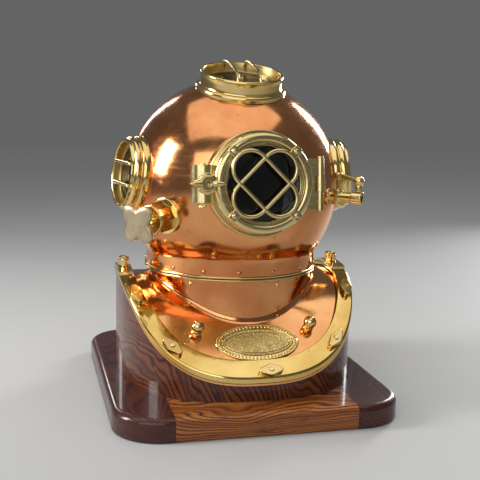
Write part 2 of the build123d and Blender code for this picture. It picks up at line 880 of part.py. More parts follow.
with BuildPart() as neck_gasket:
    tube(plan, skirt_bore, lip_radius - lip_rounding, gasket_foot, bonnet_foot)
save("neck_gasket", neck_gasket)

with BuildPart() as bonnet_ring:
    skirt_foot = male_lug_top - thread_lug_height
    skirt_inner = bonnet_skirt_radius - bonnet_skirt_wall
    upstand_top = band_foot + bonnet_upstand_height
    upstand_inner = upstand_radius - bonnet_upstand_wall
    turned(
        plan,
        (skirt_inner, skirt_foot, small_rounding),
        (bonnet_skirt_radius, skirt_foot),
        (bonnet_skirt_radius, bonnet_foot + brazed_gap),
        (lip_radius, bonnet_foot + brazed_gap, lip_rounding),
        (lip_radius, band_foot, lip_rounding),
        (upstand_radius, band_foot),
        (upstand_radius, upstand_top, small_rounding),
        (upstand_inner, upstand_top, small_rounding),
        (skirt_inner, band_foot),
    )
    lug_radius = skirt_bore - thread_clearance
    thread_lugs(bonnet_skirt_radius - thread_lug_root, lug_radius, skirt_foot, male_lug_top)
save("bonnet_ring", bonnet_ring)


# Bonnet shell: the dome's outline, its neck, and the holes for its fittings
def dome_outline(radius, neck, foot):
    """Half outline of the dome, from the crown to the foot of the neck."""
    shoulder = dome_centre_height - sqrt(radius**2 - neck**2)
    half = radians(45)
    middle = (radius * cos(half), dome_centre_height + radius * sin(half))
    ThreePointArc((0, dome_centre_height + radius), middle, (radius, dome_centre_height))
    sag = asin((dome_centre_height - shoulder) / radius) / 2
    middle = (radius * cos(sag), dome_centre_height - radius * sin(sag))
    ThreePointArc((radius, dome_centre_height), middle, (neck, shoulder))
    Line((neck, shoulder), (neck, foot))


rivet_places = []
for step in range(rivet_count):
    turn = rivet_phase + 360 * step / rivet_count
    origin = Vector(0, helmet_setback, band_foot + rivet_rise)
    rivet_places.append(facing(origin, turn))

port_holes = (
    (front, front_bore_radius),
    (left, side_bore_radius),
    (right, side_bore_radius),
    (top, top_bore_radius),
)
with BuildPart() as bonnet_shell:
    shell_foot = band_foot + brazed_gap
    with BuildSketch(upright_section(plan)):
        with BuildLine():
            dome_outline(dome_radius, neck_radius, shell_foot)
            dome_outline(dome_radius - dome_wall, neck_radius - dome_wall, shell_foot)
            crown = dome_centre_height + dome_radius
            Line((0, crown), (0, crown - dome_wall))
            Line((neck_radius, shell_foot), (neck_radius - dome_wall, shell_foot))
        make_face()
    revolve(axis=Axis(plan.origin, plan.z_dir))
    for frame, radius in port_holes:
        tube(frame, 0, radius, 0, 2 * dome_radius, mode=Mode.SUBTRACT)
    tube(exhaust, 0, exhaust_chamber_radius, -overrun, overrun, mode=Mode.SUBTRACT)
    tube(cock, 0, cock_bore_radius, 0, 2 * dome_radius, mode=Mode.SUBTRACT)
    for frame in elbows.values():
        tube(frame, 0, elbow_bore_radius, 0, 2 * dome_radius, mode=Mode.SUBTRACT)
    for frame in rivet_places:
        tube(frame, 0, rivet_shank_radius + brazed_gap, 0, neck_radius + overrun, mode=Mode.SUBTRACT)
save("bonnet_shell", bonnet_shell)

with BuildPart() as neck_rivets:
    for frame in rivet_places:
        seat = shifted(frame, z=neck_radius - small_rounding)
        dome_head(seat, rivet_radius, rivet_height + small_rounding)
    tube(plan, 0, neck_radius + brazed_gap, 0, dome_centre_height, mode=Mode.SUBTRACT)
    for frame in rivet_places:
        tube(frame, 0, rivet_shank_radius, neck_radius - dome_wall, neck_radius + rivet_height / 2)
save("neck_rivets", neck_rivets)

# Front port: seat ring with the hinge lug and the latch lugs
hinge = pivot_frame(front, hinge_reach, hinge_depth)
latch = pivot_frame(front, -latch_reach, latch_depth)
root = front_seat_face - overrun
with BuildPart() as front_seat:
    turned(
        front,
        (front_bore_radius, root),
        (front_seat_radius, root),
        (front_seat_radius, front_seat_face, seat_edge_rounding),
        (front_bore_radius, front_seat_face, small_rounding),
    )
    middle = (-hinge_middle_half_height, hinge_middle_half_height)
    block(front, (seat_lug_start, seat_lug_end), middle, (root, seat_lug_top))
    tube(hinge, 0, seat_lug_knuckle_radius, *middle)
    lug_inner = latch_eye_half_width + latch_side_gap
    for low, high in ((-latch_lug_outer, -lug_inner), (lug_inner, latch_lug_outer)):
        block(front, (-latch_lug_end, -latch_lug_start), (low, high), (root, latch_depth))
        tube(latch, 0, latch_eye_radius, low, high)
    eye_room = latch_eye_radius + latch_side_gap
    block(
        front,
        (-latch_lug_end, eye_room - latch_reach),
        (-lug_inner, lug_inner),
        (latch_depth - eye_room, front_seat_face + overrun),
        mode=Mode.SUBTRACT,
    )
    hinge_hole = hinge_pin_radius + running_gap
    latch_hole = latch_pin_radius + running_gap
    tube(hinge, 0, hinge_hole, -overrun, overrun, mode=Mode.SUBTRACT)
    tube(latch, 0, latch_hole, -latch_lug_outer, latch_lug_outer, mode=Mode.SUBTRACT)
    clear_of_dome()
save("front_seat", front_seat)

with BuildPart() as door_gasket:
    gasket_top = front_seat_face + door_gasket_thickness
    tube(front, door_gasket_inner, door_gasket_outer, front_seat_face, gasket_top)
save("door_gasket", door_gasket)

# Door: ring, hinge leaf with two knuckles, latch prongs, and the guard's screw holes
guard_frames = [
    Plane(
        origin=front.from_local_coords((0, 0, guard_height)),
        x_dir=front.x_dir * cos(radians(turn)) + front.y_dir * sin(radians(turn)),
        z_dir=front.z_dir,
    )
    for turn in (45, 135)
]
tab_low = guard_tab_foot - guard_height
screw_foot = tab_low + guard_tab_thickness + brazed_gap
glass_back = door_back + door_lip_thickness
prong_back = latch_depth + latch_eye_radius + prong_gap
with BuildPart() as door_leaf:
    block(
        front,
        (door_leaf_start, hinge_reach),
        (-hinge_half_height, hinge_half_height),
        (door_leaf_back, door_leaf_back + door_leaf_thickness),
    )
    tube(hinge, 0, hinge_knuckle_radius, -hinge_half_height, hinge_half_height)
    notch = hinge_middle_half_height + hinge_end_gap
    block(
        front,
        (hinge_reach - door_leaf_clearance, seat_lug_end),
        (-notch, notch),
        (root, door_front),
        mode=Mode.SUBTRACT,
    )
    hinge_end = hinge_half_height + overrun
    tube(hinge, 0, hinge_hole, -hinge_end, hinge_end, mode=Mode.SUBTRACT)

with BuildPart() as latch_prongs:
    tube(latch, 0, prong_radius, -latch_lug_outer, -prong_slot_half_width)
    tube(latch, 0, prong_radius, prong_slot_half_width, latch_lug_outer)
    block(
        front,
        (-latch_reach - prong_radius, -door_ring_inner - door_inner_rounding),
        (-latch_lug_outer, latch_lug_outer),
        (prong_back, door_front),
        mode=Mode.INTERSECT,
    )

with BuildPart() as front_door:
    step_height = door_front - door_step_depth
    turned(
        front,
        (door_bore_radius, door_back, small_rounding),
        (door_radius, door_back, seat_edge_rounding),
        (door_radius, door_front, door_outer_rounding),
        (door_ring_inner, door_front, door_inner_rounding),
        (door_ring_inner, step_height),
        (door_glass_pocket, step_height, small_rounding),
        (door_glass_pocket, glass_back),
        (door_bore_radius, glass_back, small_rounding),
    )
    add(door_leaf.part)
    add(latch_prongs.part)
    nut_seat = shifted(front, x=-latch_reach)
    seat_foot = latch_depth + prong_radius
    seat_radius = wing_nut_base_radius + prong_gap
    tube(nut_seat, 0, seat_radius, seat_foot, door_front + overrun, mode=Mode.SUBTRACT)
    for frame in guard_frames:
        for reach in (-guard_screw_reach, guard_screw_reach):
            hole = shifted(frame, x=reach, z=screw_foot - guard_screw_depth - brazed_gap)
            tube(hole, 0, guard_screw_shank_radius + brazed_gap, 0, overrun, mode=Mode.SUBTRACT)
save("front_door", front_door)

with BuildPart() as front_glass:
    glass_front = glass_back + door_glass_thickness
    tube(front, 0, door_glass_pocket - glazing_gap, glass_back + brazed_gap, glass_front)
save("front_glass", front_glass)

with BuildPart() as front_retainer:
    retainer_foot = glass_front + brazed_gap
    retainer_top = retainer_foot + door_retainer_height
    outer = door_glass_pocket - glazing_gap
    inner = outer - door_retainer_wall
    turned(
        front,
        (inner, retainer_foot),
        (outer, retainer_foot),
        (outer, retainer_top, small_rounding),
        (inner, retainer_top, 2 * small_rounding),
    )
save("front_retainer", front_retainer)


def loop_of_rod(frame, half_width, reach, radius):
    """A closed racetrack loop of round rod."""
    run = reach - half_width
    with BuildLine(frame) as path:
        Line((-run, half_width), (run, half_width))
        ThreePointArc((run, half_width), (reach, 0), (run, -half_width))
        Line((run, -half_width), (-run, -half_width))
        ThreePointArc((-run, -half_width), (-reach, 0), (-run, half_width))
    start = Plane(origin=frame.from_local_coords((-run, half_width, 0)), z_dir=frame.x_dir)
    with BuildSketch(start) as section:
        Circle(radius)
    sweep(section.sketch, path=path.wire())


with BuildPart() as front_guard:
    for frame in guard_frames:
        loop_of_rod(frame, guard_half_width, guard_reach, guard_rod_radius)
    tab_sides = (-guard_tab_width / 2, guard_tab_width / 2)
    tab_heights = (tab_low, tab_low + guard_tab_thickness)
    for frame in guard_frames:
        block(frame, (guard_reach, guard_tab_reach), tab_sides, tab_heights)
        block(frame, (-guard_tab_reach, -guard_reach), tab_sides, tab_heights)
        for reach in (-guard_screw_reach, guard_screw_reach):
            hole = shifted(frame, x=reach)
            tube(hole, 0, guard_screw_shank_radius + stud_hole_gap, -overrun, overrun, mode=Mode.SUBTRACT)
save("front_guard", front_guard)

with BuildPart() as guard_screws:
    for frame in guard_frames:
        for reach in (-guard_screw_reach, guard_screw_reach):
            head = shifted(frame, x=reach, z=screw_foot)
            dome_head(head, guard_screw_radius, guard_screw_height)
            tube(head, 0, guard_screw_shank_radius, -guard_screw_depth, 0)
save("guard_screws", guard_screws)

with BuildPart() as hinge_pin:
    cap_foot = hinge_half_height + hinge_end_gap
    tube(hinge, 0, hinge_pin_radius, -cap_foot, cap_foot)
    for low in (-cap_foot - hinge_cap_height, cap_foot):
        turned(
            shifted(hinge, z=low),
            (0, 0),
            (hinge_cap_radius, 0, small_rounding),
            (hinge_cap_radius, hinge_cap_height, small_rounding),
            (0, hinge_cap_height),
        )
save("hinge_pin", hinge_pin)

# Latch: swing bolt on its pin, and the wing nut
with BuildPart() as swing_bolt:
    tube(latch, 0, latch_eye_radius, -latch_eye_half_width, latch_eye_half_width)
    tube(shifted(front, x=-latch_reach, z=latch_depth), 0, bolt_radius, 0, bolt_length)
    tube(latch, 0, latch_pin_radius + running_gap, -overrun, overrun, mode=Mode.SUBTRACT)
save("swing_bolt", swing_bolt)

with BuildPart() as latch_pin:
    pin_top = latch_lug_outer + latch_side_gap
    tube(latch, 0, latch_pin_radius, -pin_top, pin_top)
    head_end = -pin_top - latch_pin_head_height
    turned(
        latch,
        (0, head_end),
        (latch_pin_head_radius, head_end, 2 * small_rounding),
        (latch_pin_head_radius, -pin_top, small_rounding),
        (0, -pin_top),
    )
    cap_end = pin_top + latch_pin_cap_height
    turned(
        latch,
        (0, pin_top),
        (latch_pin_cap_radius, pin_top),
        (latch_pin_cap_radius, cap_end, small_rounding),
        (0, cap_end),
    )
save("latch_pin", latch_pin)

bolt_frame = shifted(front, x=-latch_reach, z=latch_depth)
with BuildPart() as wing_nut:
    nut_low = prong_radius + nut_base_gap
    nut_high = nut_low + wing_nut_height
    turned(
        bolt_frame,
        (0, nut_low),
        (wing_nut_base_radius, nut_low, small_rounding),
        (wing_nut_base_radius, nut_low + wing_nut_height / 3, 2 * small_rounding),
        (wing_nut_crown_radius, nut_high, 2 * small_rounding),
        (0, nut_high),
    )
    elbow_x = wing_span * wing_elbow_shares[0]
    elbow_y = nut_low + wing_rise * wing_elbow_shares[1]
    tip_y = nut_low + wing_rise * wing_tip_rise_share
    with BuildSketch(upright_section(bolt_frame)) as wings:
        for mirror_side in (-1, 1):
            with BuildLine():
                Polyline(
                    (mirror_side * wing_root, nut_low + wing_nut_height / 4),
                    (mirror_side * elbow_x, elbow_y),
                    (mirror_side * wing_span, tip_y),
                    (mirror_side * (wing_span - wing_tip_width / 2), nut_low + wing_rise),
                    (mirror_side * (wing_span - wing_tip_width), tip_y),
                    (mirror_side * wing_span * wing_armpit_share, nut_high),
                    (mirror_side * wing_root, nut_high - small_rounding),
                    close=True,
                )
            make_face()
    extrude(wings.sketch, amount=wing_thickness / 2, both=True)
    bolt_hole = bolt_radius + running_gap
    tube(bolt_frame, 0, bolt_hole, 0, nut_high + overrun, mode=Mode.SUBTRACT)
save("wing_nut", wing_nut)


def guard_bar(frame, foot_height, bar_height, offset, pocket, along_x):
    """A bar bent down at both ends onto the ring that holds the glass."""
    reach = sqrt((pocket - bar_radius - bar_wall_gap) ** 2 - offset**2)
    origin = frame.from_local_coords((0, offset, 0) if along_x else (offset, 0, 0))
    heading = frame.x_dir if along_x else frame.y_dir
    path_plane = Plane(origin=origin, x_dir=heading, z_dir=heading.cross(frame.z_dir))
    corners = (
        (-reach, foot_height),
        (-reach, bar_height),
        (reach, bar_height),
        (reach, foot_height),
    )
    with BuildLine(path_plane) as path:
        FilletPolyline(*corners, radius=bar_bend_radius)
    start = Plane(origin=path_plane.from_local_coords((-reach, foot_height, 0)), z_dir=frame.z_dir)
    with BuildSketch(start) as section:
        Circle(bar_radius)
    sweep(section.sketch, path=path.wire())


# Side ports: the same rings, glass and bars on both sides
for name, frame in (("left", left), ("right", right)):
    root = side_ledge - overrun
    with BuildPart() as side_seat:
        turned(
            frame,
            (side_bore_radius, root),
            (side_flange_radius, root),
            (side_flange_radius, side_flange_top, 2 * port_edge_rounding),
            (side_groove_radius, side_flange_top),
            (side_groove_radius, side_bead_start),
            (side_bead_radius, side_bead_start, port_edge_rounding / 2),
            (side_bead_radius, side_bead_top, 2 * port_edge_rounding),
            (side_ring_radius, side_bead_top),
            (side_ring_radius, side_rim, port_edge_rounding),
            (side_pocket_radius, side_rim, port_edge_rounding),
            (side_pocket_radius, side_ledge),
            (side_bore_radius, side_ledge),
        )
        clear_of_dome()
    save(f"{name}_port_seat", side_seat)

    glass_top = side_ledge + side_glass_thickness
    with BuildPart() as side_glass:
        tube(frame, 0, side_pocket_radius - glazing_gap, side_ledge + brazed_gap, glass_top)
    save(f"{name}_port_glass", side_glass)

    retainer_top = glass_top + side_retainer_height
    outer = side_pocket_radius - glazing_gap
    with BuildPart() as side_retainer:
        turned(
            frame,
            (outer - side_retainer_wall, glass_top + brazed_gap),
            (outer, glass_top + brazed_gap),
            (outer, retainer_top),
            (outer - side_retainer_wall, retainer_top, port_edge_rounding),
        )
    save(f"{name}_port_retainer", side_retainer)

    with BuildPart() as side_guard:
        for offset in (-side_bar_offset, side_bar_offset):
            bar_foot = retainer_top + brazed_gap
            guard_bar(frame, bar_foot, side_bar_height, offset, side_pocket_radius, True)
    save(f"{name}_port_guard", side_guard)

# Top port
root = top_ledge - overrun
with BuildPart() as top_seat:
    turned(
        top,
        (top_bore_radius, root),
        (top_flange_radius, root),
        (top_flange_radius, top_flange_top, 2 * port_edge_rounding),
        (top_groove_radius, top_flange_top),
        (top_groove_radius, top_flange_top + top_groove_depth, port_edge_rounding / 2),
        (top_ring_radius, top_flange_top + top_groove_depth),
        (top_ring_radius, top_rim, port_edge_rounding),
        (top_pocket_radius, top_rim, port_edge_rounding),
        (top_pocket_radius, top_ledge),
        (top_bore_radius, top_ledge),
    )
    clear_of_dome()
save("top_port_seat", top_seat)

glass_top = top_ledge + top_glass_thickness
with BuildPart() as top_glass:
    tube(top, 0, top_pocket_radius - glazing_gap, top_ledge + brazed_gap, glass_top)
save("top_port_glass", top_glass)

retainer_top = glass_top + top_retainer_height
outer = top_pocket_radius - glazing_gap
with BuildPart() as top_retainer:
    turned(
        top,
        (outer - top_retainer_wall, glass_top + brazed_gap),
        (outer, glass_top + brazed_gap),
        (outer, retainer_top),
        (outer - top_retainer_wall, retainer_top, port_edge_rounding),
    )
save("top_port_retainer", top_retainer)

with BuildPart() as top_guard:
    for offset in (-top_bar_offset, top_bar_offset):
        bar_foot = retainer_top + brazed_gap
        guard_bar(top, bar_foot, top_bar_height, offset, top_pocket_radius, False)
save("top_port_guard", top_guard)

# Exhaust valve: faceted body, gland, stem with its disc, and the lobed wheel
body_end = exhaust_body_length + exhaust_face_thickness
neck_end = body_end + exhaust_neck_length
with BuildPart() as exhaust_body:
    turned(
        exhaust,
        (0, -overrun),
        (exhaust_flange_radius, -overrun),
        (exhaust_flange_radius, exhaust_flange_top, seat_edge_rounding),
        (0, exhaust_flange_top),
    )
    with BuildSketch(shifted(exhaust, z=-overrun)):
        RegularPolygon(exhaust_body_radius, exhaust_sides)
    extrude(amount=exhaust_body_length + overrun)
    turned(
        exhaust,
        (0, 0),
        (exhaust_face_radius, 0),
        (exhaust_face_radius, body_end, seat_edge_rounding),
        (exhaust_neck_radius, body_end),
        (exhaust_neck_radius, neck_end, small_rounding),
        (0, neck_end),
    )
    stem_hole = exhaust_stem_radius + running_gap
    tube(exhaust, 0, exhaust_chamber_radius, -overrun, exhaust_chamber_end, mode=Mode.SUBTRACT)
    tube(exhaust, 0, stem_hole, -overrun, neck_end + overrun, mode=Mode.SUBTRACT)
    clear_of_dome()
save("exhaust_body", exhaust_body)

with BuildPart() as exhaust_gland:
    gland_low = neck_end - exhaust_gland_length
    with BuildSketch(shifted(exhaust, z=gland_low)):
        RegularPolygon(exhaust_gland_radius + small_rounding, 6)
        Circle(exhaust_neck_radius + brazed_gap, mode=Mode.SUBTRACT)
    extrude(amount=exhaust_gland_length - small_rounding)
save("exhaust_gland", exhaust_gland)

wheel_foot = neck_end + wheel_gap
wheel_top = wheel_foot + wheel_hub_length + wheel_thickness
with BuildPart() as exhaust_stem:
    disc_foot = -exhaust_disc_thickness
    tube(exhaust, 0, exhaust_disc_radius, disc_foot, disc_foot + exhaust_disc_thickness)
    tube(exhaust, 0, exhaust_stem_radius, disc_foot, wheel_top - wheel_thickness / 2)
save("exhaust_stem", exhaust_stem)

with BuildPart() as exhaust_wheel:
    with BuildSketch(shifted(exhaust, z=wheel_foot + wheel_hub_length)) as lobes:
        Circle(wheel_centre_radius)
        for step in range(wheel_lobe_count):
            turn = radians(45 + 360 * step / wheel_lobe_count)
            with BuildSketch(mode=Mode.PRIVATE) as lobe:
                with BuildLine():
                    CenterArc((0, 0), wheel_lobe_radius, 0, 360)
                    tip = (wheel_lobe_reach * cos(turn), wheel_lobe_reach * sin(turn))
                    CenterArc(tip, wheel_lobe_radius, 0, 360)
                make_hull()
            add(lobe.sketch)
        valleys = lobes.vertices().sort_by_distance(exhaust.from_local_coords((0, 0, wheel_foot)))
        fillet(valleys[:wheel_lobe_count], wheel_valley_rounding)
    extrude(amount=wheel_thickness)
    fillet(exhaust_wheel.edges(), wheel_edge_rounding)
    hub_end = wheel_foot + wheel_hub_length + wheel_edge_rounding
    socket_end = wheel_top - wheel_thickness / 2 + brazed_gap
    tube(exhaust, 0, wheel_hub_radius, wheel_foot, hub_end)
    tube(exhaust, 0, stem_hole, 0, socket_end, mode=Mode.SUBTRACT)
save("exhaust_wheel", exhaust_wheel)

# Spit cock: pipe with its barrel, the plug, and the lever with its ball
barrel = Plane(origin=cock.from_local_coords((0, 0, barrel_reach)), x_dir=cock.x_dir, z_dir=cock.y_dir)
with BuildPart() as cock_body:
    turned(
        cock,
        (0, dome_radius - overrun),
        (cock_flange_radius, dome_radius - overrun),
        (cock_flange_radius, cock_flange_end, small_rounding),
        (cock_pipe_radius, cock_flange_end),
        (cock_pipe_radius, cock_collar_start),
        (cock_collar_radius, cock_collar_start, small_rounding),
        (cock_collar_radius, cock_end, small_rounding),
        (0, cock_end),
    )
    tube(barrel, 0, barrel_radius, -barrel_half_height, barrel_half_height)
    bore_foot = cock_end - cock_bore_depth
    plug_hole = plug_radius + running_gap
    tube(cock, 0, cock_bore_radius, bore_foot, cock_end + overrun, mode=Mode.SUBTRACT)
    tube(barrel, 0, plug_hole, -plug_depth - running_gap, overrun, mode=Mode.SUBTRACT)
    clear_of_dome()
save("spit_cock_body", cock_body)

with BuildPart() as cock_plug:
    tube(barrel, 0, plug_radius, -plug_depth, barrel_half_height + small_rounding)
    tube(barrel, 0, stem_radius, -plug_depth, stem_top)
save("spit_cock_plug", cock_plug)

ball_place = cock.from_local_coords((0, 0, barrel_reach + lever_length))
ball_frame = Plane(origin=ball_place, x_dir=cock.x_dir, z_dir=cock.y_dir)
with BuildPart() as cock_lever:
    turned(
        barrel,
        (0, stem_top + brazed_gap),
        (lever_hub_radius, stem_top + brazed_gap, small_rounding),
        (lever_hub_radius, lever_hub_top, 3 * small_rounding),
        (0, lever_hub_top),
    )
    with BuildSketch(outward_section(shifted(cock, z=barrel_reach))) as bar:
        with BuildLine():
            CenterArc((0, lever_bar_height), lever_bar_root_radius, 0, 360)
            CenterArc((lever_length, lever_ball_height), lever_bar_tip_radius, 0, 360)
        make_hull()
    extrude(amount=lever_bar_half_width, both=True)
    with Locations(ball_frame.from_local_coords((0, 0, lever_ball_height))):
        Sphere(lever_ball_radius)
    turned(
        ball_frame,
        (0, lever_foot_bottom),
        (lever_foot_radius, lever_foot_bottom, small_rounding),
        (lever_foot_radius, lever_ball_height - lever_ball_radius, small_rounding),
        (lever_foot_waist, lever_ball_height),
        (0, lever_ball_height),
    )
save("spit_cock_lever", cock_lever)

# Elbows on the back
for name, frame in elbows.items():
    section = outward_section(frame)
    bend = radians(90 - elbow_bend_turn)
    middle_turn = (radians(90) + bend) / 2
    bend_middle = (
        elbow_straight_end + elbow_bend_radius * cos(middle_turn),
        elbow_bend_radius * (sin(middle_turn) - 1),
    )
    bend_end = (
        elbow_straight_end + elbow_bend_radius * cos(bend),
        elbow_bend_radius * (sin(bend) - 1),
    )
    end_origin = section.from_local_coords((*bend_end, 0))
    end_heading = section.x_dir * sin(bend) - section.y_dir * cos(bend)
    end_frame = Plane(origin=end_origin, x_dir=frame.x_dir, z_dir=end_heading)
    with BuildPart() as elbow:
        turned(
            frame,
            (0, dome_radius - overrun),
            (elbow_flange_radius, dome_radius - overrun),
            (elbow_flange_radius, elbow_flange_end, small_rounding),
            (0, elbow_flange_end),
        )
        with BuildLine(section) as path:
            Line((elbow_flange_end - elbow_hex_length, 0), (elbow_straight_end, 0))
            ThreePointArc((elbow_straight_end, 0), bend_middle, bend_end)
        with BuildSketch(shifted(frame, z=elbow_flange_end - elbow_hex_length)) as pipe:
            Circle(elbow_pipe_radius)
        sweep(pipe.sketch, path=path.wire())
        with BuildSketch(end_frame) as hexagon:
            RegularPolygon(elbow_hex_radius, 6)
        extrude(hexagon.sketch, amount=elbow_hex_length)
        spigot_end = elbow_hex_length + elbow_spigot_length
        bore_foot = spigot_end - elbow_bore_depth
        turned(
            end_frame,
            (0, 0),
            (elbow_spigot_radius, 0),
            (elbow_spigot_radius, spigot_end, small_rounding),
            (0, spigot_end),
        )
        tube(end_frame, 0, elbow_bore_radius, bore_foot, spigot_end + overrun, mode=Mode.SUBTRACT)
        clear_of_dome()
    save(name, elbow)
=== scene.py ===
import json
from math import asin, copysign, cos, pi, radians, sin, sqrt, tan

import bmesh
import bpy
from mathutils import Matrix, Vector


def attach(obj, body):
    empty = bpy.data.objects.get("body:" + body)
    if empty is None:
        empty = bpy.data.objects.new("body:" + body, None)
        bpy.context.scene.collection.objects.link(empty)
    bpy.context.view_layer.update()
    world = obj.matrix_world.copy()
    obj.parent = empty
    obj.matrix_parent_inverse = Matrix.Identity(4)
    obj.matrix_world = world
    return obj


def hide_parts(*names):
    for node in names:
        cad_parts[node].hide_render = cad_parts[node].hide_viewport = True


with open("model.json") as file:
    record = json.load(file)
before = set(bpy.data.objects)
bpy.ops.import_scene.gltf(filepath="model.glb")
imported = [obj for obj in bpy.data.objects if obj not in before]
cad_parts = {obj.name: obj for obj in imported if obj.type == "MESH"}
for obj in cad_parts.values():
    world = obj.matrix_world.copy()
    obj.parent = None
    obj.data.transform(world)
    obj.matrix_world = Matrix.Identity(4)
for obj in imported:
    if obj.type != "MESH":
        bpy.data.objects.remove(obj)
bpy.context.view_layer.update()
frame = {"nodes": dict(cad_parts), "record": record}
nodes = frame["nodes"]

# Sizes are in millimetres, as the solids are, and meshes are made in metres
MM = 0.001
helmet_axis = 16
dome_centre = Vector((0, helmet_axis, 298.8))
dome_radius = 155
dome_wall = 1.8
front_hole = 47
side_hole = 36.5
top_hole = 45.5
neck_radius = 125
neck_foot = 184.65
neck_crease = 5
neck_drop = 92
neck_rivet_height = 190.2
collar_radius = 120
collar_bore = 118
collar_top = 177.95
collar_flare = 3.6
collar_flare_height = 5
shoulder_height = 171
arch_radius = 167
arch_turn = 42
rim_half_width = 170
rim_front_reach = 193
rim_rear_reach = 176
rim_squareness = 2.65
band_foot = 1.2
band_top = 7.2
band_width = 21
front_rise = 6
side_turn = 80.4
side_rise = 6.5
top_tilt = 16
latch_reach = 76

# A turned piece keeps this much of a bore, so that no face shrinks to a line at its pole
pole = 0.01


# Finishes
class Wire:
    """A socket of a node tree that can stand in a sum."""

    def __init__(self, tree, socket):
        self.tree = tree
        self.socket = socket

    def maths(self, operation, *others):
        values = dict(enumerate((self, *others)))
        return self.tree.node("ShaderNodeMath", {"operation": operation}, values)

    def __add__(self, other):
        return self.maths("ADD", other)

    def __radd__(self, other):
        return self.maths("ADD", other)

    def __sub__(self, other):
        return self.maths("SUBTRACT", other)

    def __rsub__(self, other):
        return self.tree.node("ShaderNodeMath", {"operation": "SUBTRACT"}, {0: other, 1: self})

    def __mul__(self, other):
        return self.maths("MULTIPLY", other)

    def __rmul__(self, other):
        return self.maths("MULTIPLY", other)

    def above(self, low, high):
        """Rises smoothly from nothing to one between two values."""
        settings = {"interpolation_type": "SMOOTHSTEP"}
        return self.tree.node("ShaderNodeMapRange", settings, {0: self, 1: low, 2: high})


class Tree:
    """A node tree that is built one node at a time."""

    def __init__(self, tree):
        self.tree = tree
        tree.nodes.clear()

    def node(self, kind, settings=None, sockets=None, out=0):
        """Adds a node with its settings and the values or links of its sockets, and gives one output."""
        made = self.tree.nodes.new(kind)
        for key, value in (settings or {}).items():
            if key == "stops":
                elements = made.color_ramp.elements
                while len(elements) < len(value):
                    elements.new(1)
                for element, (place, colour) in zip(elements, value):
                    element.position = place
                    element.color = (*colour, 1)
            else:
                setattr(made, key, value)
        for key, value in (sockets or {}).items():
            if isinstance(value, Wire):
                self.tree.links.new(value.socket, made.inputs[key])
            else:
                made.inputs[key].default_value = value
        return Wire(self, made.outputs[out]) if made.outputs else made


class Finish(Tree):
    """A material for one finish."""

    def __init__(self, name):
        self.material = bpy.data.materials.new(name)
        self.material.use_nodes = True
        super().__init__(self.material.node_tree)
        self.place = self.node("ShaderNodeTexCoord", out="Object")

    def spread(self, scale, shift=(0, 0, 0)):
        """The surface's place, moved and stretched."""
        sockets = {"Vector": self.place, "Location": shift, "Scale": scale}
        return self.node("ShaderNodeMapping", None, sockets)

    def cloud(self, scale, detail=2.0, roughness=0.5, place=None):
        """Soft noise from nothing to one."""
        sockets = {
            "Vector": place or self.place,
            "Scale": scale,
            "Detail": detail,
            "Roughness": roughness,
        }
        return self.node("ShaderNodeTexNoise", None, sockets)

    def vectors(self, operation, *values, out="Vector"):
        """Sums on places and directions."""
        return self.node("ShaderNodeVectorMath", {"operation": operation}, dict(enumerate(values)), out)

    def tint(self, share, low, high):
        """A colour between two others."""
        low, high = ((*c, 1) if isinstance(c, tuple) else c for c in (low, high))
        return self.node("ShaderNodeMix", {"data_type": "RGBA"}, {0: share, 6: low, 7: high}, out=2)

    def ramp(self, share, *stops):
        return self.node("ShaderNodeValToRGB", {"stops": stops}, {0: share})

    def bumps(self, height, distance, strength=1.0):
        sockets = {"Height": height, "Distance": distance, "Strength": strength}
        return self.node("ShaderNodeBump", None, sockets)

    def surface(self, **sockets):
        values = {key.replace("_", " "): value for key, value in sockets.items()}
        shader = self.node("ShaderNodeBsdfPrincipled", None, values)
        self.node("ShaderNodeOutputMaterial", None, {"Surface": shader})
        return self.material


def polished_metal(name, bright, dull, low_gloss, high_gloss, spun=None, wave=0.35, port=None):
    """Polished metal with clouds in its colour, wiping marks, small tarnish spots and a slow worked wave.

    port gives the axes and the radius of a port whose inner wall is rougher than its outside, and darkened
    towards brown as painted shade.
    """
    metal = Finish(name)
    clouds = metal.cloud(11, 4, 0.55).above(0.3, 0.72)
    wiped = metal.cloud(45, 6, 0.65, metal.spread((1, 1.6, 2.4))).above(0.42, 0.8)
    spots = metal.cloud(170, 2, 0.4).above(0.68, 0.78)
    gloss = wiped * (high_gloss - low_gloss) + low_gloss + spots * 0.1
    height = metal.cloud(16, 1) * wave
    if spun:
        lines = metal.cloud(1, 3, 0.6, metal.spread(spun))
        height = height + lines * 0.012
        gloss = gloss + lines.above(0.5, 0.7) * 0.04
    colour = metal.tint(clouds, bright, dull)
    # Brown for the tarnish spots, and for the painted shade on a port's inner wall
    tarnish_and_shade_brown = tuple(channel * 0.45 for channel in dull)
    colour = metal.tint(spots * 0.5, colour, tarnish_and_shade_brown)
    if port:
        axes, radius = port
        reach = metal.vectors("SUBTRACT", metal.place, axes.translation * MM)
        aside = metal.vectors("CROSS_PRODUCT", reach, axes.col[2].xyz)
        away = metal.vectors("LENGTH", aside, out="Value")
        shaded_port_wall = 1 - away.above((radius + 0.2) * MM, (radius + 1.2) * MM)
        gloss = gloss + shaded_port_wall * 0.22
        # Painted shade: the port's inner wall is darkened towards brown
        colour = metal.tint(shaded_port_wall * 0.55, colour, tarnish_and_shade_brown)
    normal = metal.bumps(height, 0.0012)
    return metal.surface(Base_Color=colour, Metallic=1.0, Roughness=gloss, Normal=normal)


def satin_cast(name, bright, dull):
    """Pale satin cast brass with a fine sandy grain."""
    metal = Finish(name)
    grain = metal.cloud(900, 3, 0.7)
    clouds = metal.cloud(60, 4, 0.6).above(0.35, 0.7)
    colour = metal.tint(clouds, bright, dull)
    normal = metal.bumps(grain, 0.00025, 0.6)
    gloss = clouds * 0.12 + 0.3
    return metal.surface(Base_Color=colour, Metallic=1.0, Roughness=gloss, Normal=normal)


